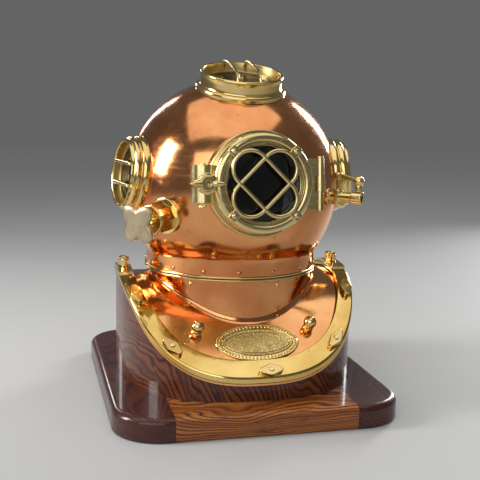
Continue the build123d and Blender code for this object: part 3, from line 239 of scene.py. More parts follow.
def matted_brass(name, bright, dull):
    """A plate's field: small punched dots, dark where a cloth can't reach."""
    metal = Finish(name)
    dots = metal.node("ShaderNodeTexVoronoi", {"feature": "F1"}, {"Vector": metal.place, "Scale": 620.0})
    crowns = 1 - dots.above(0.18, 0.6)
    clouds = metal.cloud(60, 4, 0.6).above(0.35, 0.72)
    colour = metal.tint(clouds * 0.7, bright, dull)
    colour = metal.tint((1 - crowns) * 0.4, colour, tuple(channel * 0.4 for channel in dull))
    normal = metal.bumps(crowns, 0.0004, 0.9)
    return metal.surface(Base_Color=colour, Metallic=1.0, Roughness=clouds * 0.15 + 0.2, Normal=normal)


def rosewood(name, stretch, shift, across, tones, swirl=1.0):
    """Lacquered rosewood: growth lines that flow along the grain, darker streaks and fine pores.

    stretch is smallest along the grain. across points over the growth lines, and is as long as there are
    lines to the metre. swirl says how far they wander.
    """
    wood = Finish(name)
    along = wood.spread(stretch, shift)
    figure = wood.cloud(2.6, 2, 0.45, along)
    knots = wood.cloud(0.9, 1, 0.4, along)
    fibre = wood.cloud(60, 4, 0.6, along)
    level = wood.vectors("DOT_PRODUCT", wood.place, across, out="Value")
    rings = level + figure * (13 * swirl) + knots * (34 * swirl) + fibre * 0.35
    beat = rings.maths("FRACT")
    broad = (rings * 0.23).maths("FRACT")
    dark, middle, light = tones
    stops = ((0.0, dark), (0.1, dark), (0.2, middle), (0.5, light), (0.82, light), (1.0, middle))
    ground = wood.ramp(beat, *stops)
    shade = broad.above(0.35, 0.6) * (1 - broad.above(0.72, 0.95))
    ground = wood.tint(shade * 0.6, ground, middle)
    streaks = wood.cloud(16, 5, 0.62, along).above(0.55, 0.7)
    ground = wood.tint(streaks * 0.7, ground, dark)
    pores = wood.cloud(300, 2, 0.5, along).above(0.6, 0.68)
    ground = wood.tint(pores * 0.55, ground, (0.012, 0.006, 0.005))
    wave = wood.bumps(wood.cloud(14, 1), 0.0008, 0.25)
    return wood.surface(
        Base_Color=ground,
        Roughness=fibre * 0.12 + 0.34,
        Specular_IOR_Level=0.2,
        Coat_Weight=0.55,
        Coat_Roughness=0.05,
        Coat_IOR=1.5,
        Normal=wave,
    )


def plate_glass(name):
    glass = Finish(name)
    haze = glass.cloud(30, 3).above(0.5, 0.8)
    return glass.surface(
        Base_Color=(0.26, 0.30, 0.295, 1),
        Roughness=haze * 0.03 + 0.01,
        Transmission_Weight=1.0,
        IOR=1.5,
    )


def waxed_leather(name):
    leather = Finish(name)
    pebble = leather.cloud(700, 3, 0.6)
    colour = leather.tint(leather.cloud(40, 3), (0.035, 0.02, 0.014), (0.085, 0.045, 0.028))
    normal = leather.bumps(pebble, 0.0003, 0.8)
    return leather.surface(Base_Color=colour, Roughness=pebble * 0.2 + 0.5, Normal=normal)


def painted_shade_lining(name):
    """The bonnet's inner wall: a near-black colour that is painted shade for the dark inside of the bonnet,
    taken also as darkened old tinning.
    """
    inner_wall_shade = Finish(name)
    clouds = inner_wall_shade.cloud(18, 4, 0.6)
    colour = inner_wall_shade.tint(clouds, (0.03, 0.022, 0.016), (0.075, 0.05, 0.035))
    return inner_wall_shade.surface(Base_Color=colour, Metallic=0.6, Roughness=clouds * 0.2 + 0.45)


copper_bright, copper_dull = (0.88, 0.41, 0.16), (0.66, 0.23, 0.085)
brass_bright, brass_dull = (0.88, 0.69, 0.31), (0.76, 0.54, 0.20)
spun_copper = polished_metal(
    "spun_copper", copper_bright, copper_dull, 0.12, 0.22, spun=(6, 6, 900), wave=0.5
)
sheet_copper = polished_metal("sheet_copper", (0.92, 0.47, 0.20), (0.74, 0.31, 0.11), 0.12, 0.22, wave=0.8)
polished_brass = polished_metal("polished_brass", brass_bright, brass_dull, 0.12, 0.26)
band_brass = polished_metal("band_brass", (0.88, 0.64, 0.23), (0.66, 0.41, 0.11), 0.09, 0.22, wave=0.9)
cast_brass = polished_metal("cast_brass", brass_bright, brass_dull, 0.16, 0.3, wave=0.8)
door_brass = polished_metal("door_brass", (0.82, 0.67, 0.34), (0.64, 0.48, 0.20), 0.2, 0.34, wave=0.5)
nut_brass = polished_metal("nut_brass", (0.84, 0.64, 0.28), (0.62, 0.41, 0.14), 0.16, 0.32, wave=0.6)
satin_brass = satin_cast("satin_brass", (0.57, 0.47, 0.31), (0.45, 0.35, 0.21))
glass = plate_glass("plate_glass")
field_brass = matted_brass("matted_brass", (0.97, 0.77, 0.32), (0.86, 0.60, 0.20))
leather = waxed_leather("waxed_leather")
# Near-black for the bonnet's inner wall: painted shade for the dark inside, partly old tinning
inner_wall_shade = painted_shade_lining("painted_shade_lining")

light_tones = ((0.040, 0.009, 0.003), (0.17, 0.042, 0.008), (0.37, 0.120, 0.020))
dark_tones = ((0.012, 0.003, 0.003), (0.042, 0.008, 0.006), (0.078, 0.017, 0.009))
mixed_tones = ((0.014, 0.004, 0.003), (0.060, 0.014, 0.007), (0.15, 0.038, 0.010))
woods = {
    "board_centre_plank": rosewood(
        "rosewood_centre", (2.2, 5.0, 8.0), (0.4, 0.3, 0.1), (0, 70, 230), light_tones, 1.0
    ),
    "board_left_plank": rosewood(
        "rosewood_left", (5.0, 1.8, 7.0), (1.3, 0.2, 0.5), (90, 0, 210), dark_tones, 0.9
    ),
    "board_right_plank": rosewood(
        "rosewood_right", (5.0, 1.8, 7.0), (2.9, 1.7, 0.2), (90, 0, 210), dark_tones, 0.8
    ),
    "plinth_front": rosewood(
        "rosewood_plinth_front", (5.0, 5.0, 2.6), (0.7, 1.2, 2.1), (90, 40, 60), mixed_tones, 0.8
    ),
    "plinth_rear": rosewood(
        "rosewood_plinth_rear", (5.0, 5.0, 2.6), (3.1, 0.4, 1.1), (90, 40, 60), mixed_tones, 0.8
    ),
    "plinth_left_cheek": rosewood(
        "rosewood_left_cheek", (4.0, 2.6, 5.0), (0.2, 2.6, 1.4), (60, 20, 150), mixed_tones, 0.9
    ),
    "plinth_right_cheek": rosewood(
        "rosewood_right_cheek", (4.0, 2.6, 5.0), (4.2, 1.6, 0.4), (60, -20, 150), mixed_tones, 0.9
    ),
}


# Meshes
def finished(piece, body, node_names, finish, sharp=32):
    """Gives a new piece its finish, its smooth faces, the body it rides on and the solids it stands for."""
    mesh = piece.data
    if finish:
        mesh.materials.clear()
        mesh.materials.append(finish)
    mesh.polygons.foreach_set("use_smooth", [True] * len(mesh.polygons))
    mesh.set_sharp_from_angle(angle=radians(sharp))
    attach(piece, body)
    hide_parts(*node_names)
    return piece


def linked(name, data):
    """A new object in the scene."""
    made = bpy.data.objects.new(name, data)
    bpy.context.scene.collection.objects.link(made)
    return made


def mesh_piece(name, points, faces):
    """A new mesh object from points in millimetres."""
    mesh = bpy.data.meshes.new(name)
    mesh.from_pydata([tuple(Vector(point) * MM) for point in points], [], faces)
    mesh.update()
    return linked(name, mesh)


def solid_piece(name, points, faces):
    """A new closed mesh object, its faces turned outwards."""
    piece = mesh_piece(name, points, faces)
    work = bmesh.new()
    work.from_mesh(piece.data)
    bmesh.ops.remove_doubles(work, verts=work.verts, dist=1e-7)
    bmesh.ops.recalc_face_normals(work, faces=work.faces)
    work.to_mesh(piece.data)
    work.free()
    return piece


def strips(columns, rows, closed=False):
    """Faces between neighbouring columns of points, each column a closed loop of so many rows."""
    faces = []
    for column in range(columns if closed else columns - 1):
        here, there = column * rows, (column + 1) % columns * rows
        for row in range(rows):
            after = (row + 1) % rows
            faces.append((here + row, there + row, there + after, here + after))
    return faces


def ends(columns, rows):
    """The faces that close the first and the last column."""
    return [tuple(range(rows)), tuple(range((columns - 1) * rows, columns * rows))]


def settled(piece):
    """Applies a piece's modifiers."""
    evaluated = piece.evaluated_get(bpy.context.evaluated_depsgraph_get())
    mesh = bpy.data.meshes.new_from_object(evaluated)
    piece.modifiers.clear()
    piece.data = mesh
    return piece


def rounded(corners, steps=6):
    """Outline points of (x, y, radius) corners, each turned along its own arc."""
    points = []
    for index, corner in enumerate(corners):
        here = Vector(corner[:2])
        radius = corner[2] if len(corner) > 2 else 0
        if not radius:
            points.append(here)
            continue
        before = (Vector(corners[index - 1][:2]) - here).normalized()
        after = (Vector(corners[(index + 1) % len(corners)][:2]) - here).normalized()
        half = before.angle(after) / 2
        centre = here + (before + after).normalized() * radius / sin(half)
        reach = radius / (sin(half) / cos(half))
        start = here + before * reach - centre
        end = here + after * reach - centre
        sweep = start.angle_signed(end)
        for step in range(steps + 1):
            spun = start.copy()
            spun.rotate(Matrix.Rotation(-sweep * step / steps, 2))
            points.append(centre + spun)
    return points


def placed(origin, across, outward):
    """Axes with z outwards and x across, at a point."""
    up = outward.cross(across)
    turned = Matrix((across, up, outward)).transposed().to_4x4()
    return Matrix.Translation(origin) @ turned


def port_axes(turn, rise, origin=dome_centre):
    """A port's own axes: z outwards from the middle of the dome."""
    turn, rise = radians(turn), radians(rise)
    outward = Vector((sin(turn) * cos(rise), -cos(turn) * cos(rise), sin(rise)))
    return placed(origin, Vector((cos(turn), sin(turn), 0)), outward)


def lathe(name, outline, axes, around=192, share=None):
    """Turns a closed outline of (radius, height) points about the z of some axes.

    share gives how much of its radius a point keeps at an angle and a height, as on a lobed piece.
    """
    points = []
    for step in range(around):
        angle = 2 * pi * step / around
        for radius, height in outline:
            reach = radius * share(angle, height) if share else radius
            points.append(axes @ Vector((reach * cos(angle), reach * sin(angle), height)))
    return solid_piece(name, points, strips(around, len(outline), closed=True))


def joined(name, *pieces):
    """Several new meshes as one."""
    work = bmesh.new()
    for piece in pieces:
        work.from_mesh(piece.data)
        bpy.data.objects.remove(piece)
    mesh = bpy.data.meshes.new(name)
    work.to_mesh(mesh)
    work.free()
    return linked(name, mesh)


def softened(name, body, node_names, voxel, passes, finish, additions=(), swell=0.0):
    """A cast piece: its solids, and any additions, with every edge and inner corner melted a little."""
    work = bmesh.new()
    for node_name in node_names:
        work.from_mesh(nodes[node_name].data)
    for addition in additions:
        work.from_mesh(addition.data)
        bpy.data.objects.remove(addition)
    bmesh.ops.remove_doubles(work, verts=work.verts, dist=1e-6)
    mesh = bpy.data.meshes.new(name)
    work.to_mesh(mesh)
    work.free()
    piece = linked(name, mesh)
    melted = piece.modifiers.new("melted", "REMESH")
    melted.mode = "VOXEL"
    melted.voxel_size = voxel * MM
    wiped = piece.modifiers.new("wiped", "SMOOTH")
    wiped.factor = 0.5
    wiped.iterations = passes
    if swell:
        fuller = piece.modifiers.new("fuller", "DISPLACE")
        fuller.mid_level = 0
        fuller.strength = swell * MM
    settled(piece)
    return finished(piece, body, node_names, finish, 50)


def rod_along(name, path, radius, sides=20):
    """A round rod along a run of points, its ends closed."""
    points = []
    # Any direction that no rod starts along will do
    side = Vector((0.13, 0.31, 0.94))
    for index, here in enumerate(path):
        before, after = path[max(index - 1, 0)], path[min(index + 1, len(path) - 1)]
        heading = (after - before).normalized()
        side = (side - heading * side.dot(heading)).normalized()
        up = heading.cross(side)
        for step in range(sides):
            angle = 2 * pi * step / sides
            points.append(here + (side * cos(angle) + up * sin(angle)) * radius)
    return solid_piece(name, points, strips(len(path), sides) + ends(len(path), sides))


def slab(name, outline, axes, low, high):
    """A flat plate with an outline, between two heights over some axes."""
    points = [axes @ Vector((*point, height)) for height in (low, high) for point in outline]
    return solid_piece(name, points, strips(2, len(outline)) + ends(2, len(outline)))


# Left and right are as seen from in front of the helmet
front = port_axes(0, front_rise)
left = port_axes(-side_turn, side_rise)
right = port_axes(side_turn, side_rise)
top = port_axes(0, 90 - top_tilt)
upright = Matrix.Translation(Vector((0, helmet_axis, 0)))

# Bonnet: the spun dome, with its crease above the neck and its port holes
port_holes = ((front, front_hole), (left, side_hole), (right, side_hole), (top, top_hole))


def dome_outline(radius, neck):
    """The dome's outline from near the crown down to the neck's foot, its crease a short curve."""
    crown_turn, curve_turn = 0.0005, 0.045
    steps, curve_steps = 110, 8
    sweep = pi - asin(neck / radius) - curve_turn
    turns = [crown_turn + sweep * step / steps for step in range(steps + 1)]
    points = [(radius * sin(turn), dome_centre.z + radius * cos(turn)) for turn in turns]
    last_radius, last_height = points[-1]
    corner = dome_centre.z - sqrt(radius**2 - neck**2)
    for step in range(1, curve_steps + 1):
        share = step / curve_steps
        start, middle, end = (1 - share) ** 2, 2 * share * (1 - share), share**2
        height = start * last_height + middle * corner + end * (corner - neck_crease)
        points.append((start * last_radius + (middle + end) * neck, height))
    points.append((neck, neck_foot))
    return points


def make_dome():
    """The spun dome with its port holes cut; its inner wall gets the near-black lining of painted shade."""
    cut_start, cut_end = 100, 220
    outer = dome_outline(dome_radius, neck_radius)
    inner = dome_outline(dome_radius - dome_wall, neck_radius - dome_wall)
    dome = lathe("bonnet_dome", outer + inner[::-1], upright, 256)
    cutters = []
    for axes, radius in port_holes:
        outline = ((pole, cut_start), (radius, cut_start), (radius, cut_end), (pole, cut_end))
        cutters.append(lathe("hole", outline, axes, 96))
        cut = dome.modifiers.new("hole", "BOOLEAN")
        cut.object = cutters[-1]
        cut.solver = "EXACT"
    settled(dome)
    for cutter in cutters:
        bpy.data.objects.remove(cutter)
    finished(dome, "bonnet", ["bonnet_shell"], spun_copper, 40)
    # Inner faces get the near-black lining: painted shade for the dark inside of the bonnet
    dome.data.materials.append(inner_wall_shade)
    for face in dome.data.polygons:
        away = face.center - dome_centre * MM
        if away.z < -neck_drop * MM:
            away.z = 0
        face.material_index = 1 if away.dot(face.normal) < 0 else 0


make_dome()


# The arch of the breastplate, and the rim round it
def arch_height(y, lift=0):
    """Height of the arch, or of a layer over it, at a distance from the helmet's axis."""
    radius = arch_radius + lift
    slope = radians(arch_turn)
    bend = radius * sin(slope)
    centre = shoulder_height - arch_radius
    if abs(y) <= bend:
        return centre + sqrt(radius**2 - y**2)
    return centre + radius * cos(slope) - (abs(y) - bend) * tan(slope)


def arch_axes(x, y, lift=0):
    """Axes that stand on the arch over a place in plan."""
    tilt = min(asin(min(abs(y) / arch_radius, 1)), radians(arch_turn))
    outward = Vector((0, copysign(sin(tilt), y), cos(tilt)))
    foot = Vector((x, helmet_axis + y, arch_height(y)))
    return placed(foot + outward * lift, Vector((1, 0, 0)), outward)


def rim_place(turn, inset):
    """Place in plan on the breastplate's oval, from the wearer's left shoulder round the front."""
    across, along = cos(radians(turn)), sin(radians(turn))
    reach = rim_front_reach if along > 0 else rim_rear_reach
    power = 2 / rim_squareness
    return (
        (rim_half_width - inset) * copysign(abs(across) ** power, across),
        -(reach - inset) * copysign(abs(along) ** power, along),
    )


def make_band(side, start, end, columns=171):
    """Half of the brass band: a bar with rounded shoulders that follows the rim over the arch."""
    outer = ((0, band_foot, 0.4), (0, band_top, 1.8))
    inner = ((band_width, band_top, 1.4), (band_width, band_foot, 0.4))
    section = rounded(outer + inner, 5)
    points = []
    for column in range(columns):
        turn = start + (end - start) * column / (columns - 1)
        for inset, lift in section:
            x, y = rim_place(turn, inset)
            points.append((x, helmet_axis + y, arch_height(y, lift)))
    faces = strips(columns, len(section)) + ends(columns, len(section))
    band = solid_piece(f"brail_{side}_band", points, faces)
    finished(band, "corselet", [f"brail_{side}"], band_brass, 30)


# The halves stop just short of each other, in degrees round the rim
band_gap = 0.02
make_band("front", band_gap, 180 - band_gap)
make_band("rear", -band_gap, band_gap - 180)


def make_collar(around=288):
    """The copper collar: its foot flares out over the breastplate in one sweep, its top edge is turned."""
    gap, foot_edge, sweep_foot, turned_edge = 0.05, 0.9, 1.1, 0.6
    flare = [(collar_radius + collar_flare, gap), (collar_radius + collar_flare, foot_edge)]
    for step in range(1, 9):
        bend = radians(90 * step / 8)
        radius = collar_radius + collar_flare * (1 - sin(bend))
        flare.append((radius, sweep_foot + collar_flare_height * (1 - cos(bend))))
    points = []
    for step in range(around):
        angle = 2 * pi * step / around
        across, along = sin(angle), -cos(angle)
        column = [(radius, arch_height(radius * along) + lift) for radius, lift in flare]
        column += [(collar_radius, collar_top - turned_edge), (collar_radius - turned_edge, collar_top)]
        column += [(collar_bore, collar_top), (collar_bore, arch_height(collar_bore * along) + gap)]
        points += [(radius * across, helmet_axis + radius * along, height) for radius, height in column]
    collar = solid_piece("collar_sleeve", points, strips(around, len(points) // around, closed=True))
    finished(collar, "corselet", ["collar_tube"], spun_copper, 35)


make_collar()


# Heads of rivets, screws and beads, one tree for all of them
def head_tree():
    """Stands a low domed head on each point, along the point's own direction, with a slot or without."""
    group = bpy.data.node_groups.new("heads_on_places", "GeometryNodeTree")
    group.is_modifier = True
    socket_kinds = {
        "Geometry": "NodeSocketGeometry",
        "Radius": "NodeSocketFloat",
        "Height": "NodeSocketFloat",
        "Slot Width": "NodeSocketFloat",
        "Material": "NodeSocketMaterial",
    }
    for name, kind in socket_kinds.items():
        group.interface.new_socket(name=name, in_out="INPUT", socket_type=kind)
    group.interface.new_socket(name="Geometry", in_out="OUTPUT", socket_type="NodeSocketGeometry")
    tree = Tree(group)
    places, radius, height, slot_width, finish = (
        tree.node("NodeGroupInput", out=name) for name in socket_kinds
    )
    ball = tree.node("GeometryNodeMeshUVSphere", None, {"Segments": 28, "Rings": 14, "Radius": 1.0})
    size = tree.node("ShaderNodeCombineXYZ", None, {"X": radius, "Y": radius, "Z": height})
    dome = tree.node("GeometryNodeTransform", None, {"Geometry": ball, "Scale": size})
    bar_size = tree.node("ShaderNodeCombineXYZ", None, {"X": radius * 3, "Y": slot_width, "Z": height})
    bar = tree.node("GeometryNodeMeshCube", None, {"Size": bar_size})
    lift = tree.node("ShaderNodeCombineXYZ", None, {"Z": height * 1.05})
    raised = tree.node("GeometryNodeTransform", None, {"Geometry": bar, "Translation": lift})
    cutting = {"operation": "DIFFERENCE", "solver": "EXACT"}
    cut = tree.node("GeometryNodeMeshBoolean", cutting, {"Mesh 1": dome, "Mesh 2": raised})
    slotted = tree.node("FunctionNodeCompare", {"operation": "GREATER_THAN"}, {0: slot_width, 1: 0.0})
    heads = {"Switch": slotted, "False": dome, "True": cut}
    head = tree.node("GeometryNodeSwitch", {"input_type": "GEOMETRY"}, heads)
    of_vectors = {"data_type": "FLOAT_VECTOR"}
    outward = tree.node("GeometryNodeInputNamedAttribute", of_vectors, {"Name": "outward"}, out="Attribute")
    turns = {2: 0.0, 3: pi, "Seed": 7}
    turn = tree.node("FunctionNodeRandomValue", {"data_type": "FLOAT"}, turns, out=1)
    twist = tree.node("ShaderNodeCombineXYZ", None, {"Z": turn})
    twisted = tree.node("FunctionNodeEulerToRotation", None, {"Euler": twist})
    facing = {"Rotation": twisted, "Vector": outward}
    aligned = tree.node("FunctionNodeAlignRotationToVector", {"axis": "Z"}, facing)
    standing = {"Points": places, "Instance": head, "Rotation": aligned}
    copies = tree.node("GeometryNodeInstanceOnPoints", None, standing)
    solid = tree.node("GeometryNodeRealizeInstances", None, {"Geometry": copies})
    dressed = tree.node("GeometryNodeSetMaterial", None, {"Geometry": solid, "Material": finish})
    tree.node("NodeGroupOutput", None, {"Geometry": dressed})
    return group


heads_on_places = head_tree()


def headed(name, places, radius, height, finish, slot_width=0.0):
    """Heads on (place, outward) pairs, as a plain mesh."""
    piece = mesh_piece(name, [place for place, outward in places], [])
    facing = piece.data.attributes.new("outward", "FLOAT_VECTOR", "POINT")
    facing.data.foreach_set("vector", [value for place, outward in places for value in outward])
    values = {
        "Radius": radius * MM,
        "Height": height * MM,
        "Slot Width": slot_width * MM,
        "Material": finish,
    }
    grow = piece.modifiers.new("heads", "NODES")
    grow.node_group = heads_on_places
    for item in heads_on_places.interface.items_tree:
        if item.in_out == "INPUT" and item.name in values:
            grow[item.identifier] = values[item.name]
    return settled(piece)


def around_neck(turns, radius, height):
    """Places round the helmet's axis, looking away from it."""
    places = []
    for turn in turns:
        outward = Vector((sin(radians(turn)), -cos(radians(turn)), 0))
        places.append((Vector((0, helmet_axis, height)) + outward * radius, outward))
    return places


def make_neck_heads():
    """Rivets round the bonnet's neck and the collar's foot, and the collar's slotted screws."""
    sunk = 0.1
    rivet_turns = [22.5 * step - 7.5 for step in range(16)]
    rivet_places = around_neck(rivet_turns, neck_radius - sunk, neck_rivet_height)
    neck_heads = headed("neck_rivet_heads", rivet_places, 2.7, 2.1, spun_copper)
    finished(neck_heads, "bonnet", ["neck_rivets"], None, 50)

    foot_reach, foot_lift = collar_radius + 1.7, 2.4
    foot_places = []
    for turn in (-40, 20, 80, 140, 200, 260):
        x, y = foot_reach * sin(radians(turn)), -foot_reach * cos(radians(turn))
        axes = arch_axes(x, y, foot_lift)
        foot_places.append((axes.translation, axes.col[2].xyz))
    foot_heads = headed("foot_rivet_heads", foot_places, 1.7, 1.3, polished_brass)
    screw_height = collar_top - 7
    screw_places = around_neck((-40, 20, 140, 200), collar_radius - sunk, screw_height)
    screw_heads = headed("collar_screw_heads", screw_places, 3.2, 2.1, polished_brass, slot_width=0.8)
    collar_heads = joined("collar_heads", foot_heads, screw_heads)
    solids = ["collar_foot_rivets", "collar_screws"]
    finished(collar_heads, "corselet", solids, polished_brass, 45)


make_neck_heads()


# Front door: its guard, and the glass on a dark bedding, held by a slim ring
def make_guard():
    """The crossed loops with a tab under each screw, and the four slotted screws."""
    screw_reach, screw_height = 58.2, 184
    tab_start, tab_end, tab_half = 49, 64.3, 5.6
    tab_low, tab_high = 181.1, 183.6
    inner_round, outer_round = 1, 2.6
    tab = rounded(
        (
            (tab_start, -tab_half, inner_round), (tab_end, -tab_half, outer_round),
            (tab_end, tab_half, outer_round), (tab_start, tab_half, inner_round),
        ),
        5,
    )
    places, tabs = [], []
    for turn in (45, 135, 225, 315):
        axes = front @ Matrix.Rotation(radians(turn), 4, "Z")
        places.append((axes @ Vector((screw_reach, 0, screw_height)), front.col[2].xyz))
        tabs.append(slab("tab", tab, axes, tab_low, tab_high))
    heads = headed("guard_screw_heads", places, 3.7, 2.5, door_brass, slot_width=1.0)
    finished(heads, "door", ["guard_screws"], None, 45)
    softened("front_guard_casting", "door", ["front_guard"], 0.5, 3, door_brass, tabs, swell=0.4)


def make_front_window(around=160):
    glass_radius, glass_back, glass_face = 50.2, 164.6, 170
    pane_corners = (
        (pole, glass_back), (glass_radius, glass_back, 0.5),
        (glass_radius, glass_face, 0.8), (pole, glass_face),
    )
    pane = lathe("front_window", rounded(pane_corners, 3), front, around)
    finished(pane, "door", ["front_glass"], glass, 40)

    sight_radius, bedding_back, bedding_face = 46.7, 164.05, 164.45
    bedding_corners = (
        (sight_radius, bedding_back), (glass_radius, bedding_back),
        (glass_radius, bedding_face), (sight_radius, bedding_face),
    )
    bedding = lathe("window_bedding", bedding_corners, front, around)

    ring_bore, ring_radius, ring_back, ring_face = 48.9, 50.3, 170.1, 175.1
    ring_corners = (
        (ring_bore, ring_back, 0.3), (ring_radius, ring_back), (ring_radius, ring_face, 0.3),
        (ring_bore, ring_face, 0.9),
    )
    slim_ring = lathe("slim_retainer", rounded(ring_corners, 4), front, around)
    finished(slim_ring, "door", ["front_retainer"], door_brass, 40)
    finished(bedding, "door", [], leather, 40)


make_guard()
make_front_window()


# Breastplate fittings: the oval plate and the two ball studs
def make_nameplate():
    """A bare oval plate: rolled rim, a ring of beads, two plain mouldings and a finely matted field."""
    plate_x, plate_y, gap = 5, -145.61, 0.05
    axes = arch_axes(plate_x, plate_y, gap)
    outward = axes.col[2].xyz
    half_width, half_height = 58, 29.01
    profile = (
        (0, 0), (0, 1.9), (0.3, 2.6), (0.9, 3.0), (1.6, 3.0), (2.2, 2.5), (2.5, 1.6), (7.6, 1.6),
        (7.8, 2.2), (8.3, 2.5), (8.8, 2.2), (9.0, 1.6), (9.6, 1.45), (12.2, 1.47), (12.4, 1.9), (12.8, 2.1),
        (13.2, 1.9), (13.4, 1.48), (20, 1.55), (25, 1.6),
    )
    bead_inset, bead_seat, bead_count = 4.9, 1.6, 64
    pin_reach, pin_seat = 48, 1.7
    field_inset, field_low, field_high = 9, 1.4, 1.63
    around = 192

    def oval_place(inset, height, step, steps):
        angle = 2 * pi * step / steps
        across, up = (half_width - inset) * cos(angle), (half_height - inset) * sin(angle)
        return axes @ Vector((across, up, height))

    points = [oval_place(inset, height, step, around) for inset, height in profile for step in range(around)]
    plate = solid_piece("plate_blank", points, strips(len(profile), around) + ends(len(profile), around))
    beads = [(oval_place(bead_inset, bead_seat, step, bead_count), outward) for step in range(bead_count)]
    bead_ring = headed("plate_beads", beads, 1.65, 1.15, polished_brass)
    pins = [(axes @ Vector((side * pin_reach, 0, pin_seat)), outward) for side in (-1, 1)]
    pin_heads = headed("plate_pins", pins, 1.9, 1.1, polished_brass)
    whole = joined("oval_plate", plate, bead_ring, pin_heads)
    finished(whole, "corselet", ["nameplate", "nameplate_pins"], polished_brass, 35)
    whole.data.materials.append(field_brass)
    flat = axes.inverted()
    for face in whole.data.polygons:
        here = flat @ (face.center / MM)
        across, up = here.x / (half_width - field_inset), here.y / (half_height - field_inset)
        in_field = across**2 + up**2 < 1 and field_low < here.z < field_high
        face.material_index = 1 if in_field else 0


def make_ball_studs():
    """Two turned studs beside the plate, each a ball on a short stem and a foot."""
    stud_places = ((-76, -129.5), (82, -129.5))
    ball_radius, ball_height, stem_radius, foot_radius = 8.8, 12.6, 4.6, 7.4
    foot_back, foot_face, stem_foot = 0.1, 2.8, 3.6
    foot_corners = (
        (pole, foot_back), (foot_radius, foot_back, 0.3), (foot_radius, foot_face, 0.9),
        (stem_radius, stem_foot, 0.4),
    )
    outline = rounded(foot_corners, 4)
    start = asin(stem_radius / ball_radius)
    steps = 28
    for step in range(steps + 1):
        turn = start + (pi - start) * step / steps
        outline.append(Vector((ball_radius * sin(turn) + pole, ball_height - ball_radius * cos(turn))))
    studs = [lathe("stud", outline, arch_axes(x, y), 72) for x, y in stud_places]
    both = joined("ball_stud_turnings", *studs)
    finished(both, "corselet", ["ball_studs"], polished_brass, 40)


make_nameplate()
make_ball_studs()


# Exhaust wheel, wing nut and latch pin: turnings whose radius swells and shrinks round the axis
def make_wheel():
    """A plump four-lobed star on its hub."""
    drop, turn, rise = 32, -49, -5.5
    outward = Vector((sin(radians(turn)), -cos(radians(turn)), 0))
    root = dome_centre + outward * sqrt(dome_radius**2 - drop**2) - Vector((0, 0, drop))
    axes = port_axes(turn, rise, root)
    middle, half, reach = 56.0, 4.6, 30.0
    edge_fullness, face_fullness = 0.42, 0.85
    lobe_count, waist, lobe_fullness = 4, 0.64, 0.8
    steps = 24
    outline = []
    for step in range(steps + 1):
        bend = pi * (step / steps - 0.5)
        height = middle + half * copysign(abs(sin(bend)) ** face_fullness, bend)
        outline.append((reach * max(cos(bend), 0) ** edge_fullness + pole, height))

    def lobes(angle, height):
        return waist + (1 - waist) * (0.5 - 0.5 * cos(lobe_count * angle)) ** lobe_fullness

    star = lathe("star", outline, axes, 144, lobes)
    hub_corners = ((4.2, 48.9, 0.3), (8, 48.9, 0.8), (8.6, 54, 0.5), (4.2, 54, 0.3))
    hub = lathe("hub", rounded(hub_corners, 4), axes, 96)
    wheel = joined("star_wheel", star, hub)
    finished(wheel, "exhaust_wheel", ["exhaust_wheel"], satin_brass, 45)


def make_wing_nut():
    """A scalloped base, a domed crown round the bolt's end, and two tapered wings."""
    axes = front @ Matrix.Translation((-latch_reach, 0, 0))
    corners = (
        (3.8, 174.4, 0.3), (11.6, 174.4, 0.9), (11.6, 181.4), (14.2, 181.9, 0.6), (14.2, 185.8, 1.4),
        (10.4, 186.6, 0.8), (9.2, 189.2, 1.2), (3.8, 189.2, 0.9),
    )
    scallop_count, scallop_low, scallop_high, scallop_depth = 8, 181.6, 186.2, 0.13

    def scallops(angle, height):
        if scallop_low < height < scallop_high:
            return 1 - scallop_depth * (0.5 - 0.5 * cos(scallop_count * angle)) ** 2
        return 1

    parts = [lathe("nut_body", rounded(corners, 5), axes, 192, scallops)]
    wing_run = (
        (8.0, 186.3, 4.3), (12.0, 187.0, 4.4), (15.5, 187.8, 3.7), (18.5, 188.6, 2.7), (21.0, 189.2, 1.8),
        (22.2, 189.5, 1.1), (22.7, 189.6, 0.4),
    )
    lean, sides = 0.35, 20
    for side in (-1, 1):
        lift, depth = Vector((-lean * side, 0, 0.94)), Vector((0, 1, 0))
        points = []
        for reach, height, radius in wing_run:
            for step in range(sides):
                angle = 2 * pi * step / sides
                offset = lift * cos(angle) * radius + depth * sin(angle) * radius
                points.append(axes @ (Vector((reach * side, 0, height)) + offset))
        faces = strips(len(wing_run), sides) + ends(len(wing_run), sides)
        parts.append(solid_piece("wing", points, faces))
    nut = softened("wing_nut_casting", "wing_nut", [], 0.3, 2, door_brass, parts)
    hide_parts("wing_nut")


def make_latch_pin():
    """The pin that the swing bolt turns on: a knurled head below, a plain cap above."""
    axes = placed(front @ Vector((-latch_reach, 0, 156)), front.col[0].xyz, front.col[1].xyz)
    corners = (
        (pole, -30.3), (5.4, -30.3, 1.0), (5.4, -24.3, 0.8), (2.6, -24.3), (2.6, 24.3), (4.2, 24.3),
        (4.2, 26.3, 0.9), (pole, 26.3),
    )
    knurl_count, knurl_low, knurl_high, knurl_depth = 24, -29.6, -24.9, 0.07

    def knurls(angle, height):
        if knurl_low < height < knurl_high:
            return 1 - knurl_depth * (0.5 + 0.5 * cos(knurl_count * angle))
        return 1

    pin = lathe("knurled_pin", rounded(corners, 4), axes, 240, knurls)
    finished(pin, "bonnet", ["latch_pin"], polished_brass, 40)


make_wheel()
make_wing_nut()
make_latch_pin()


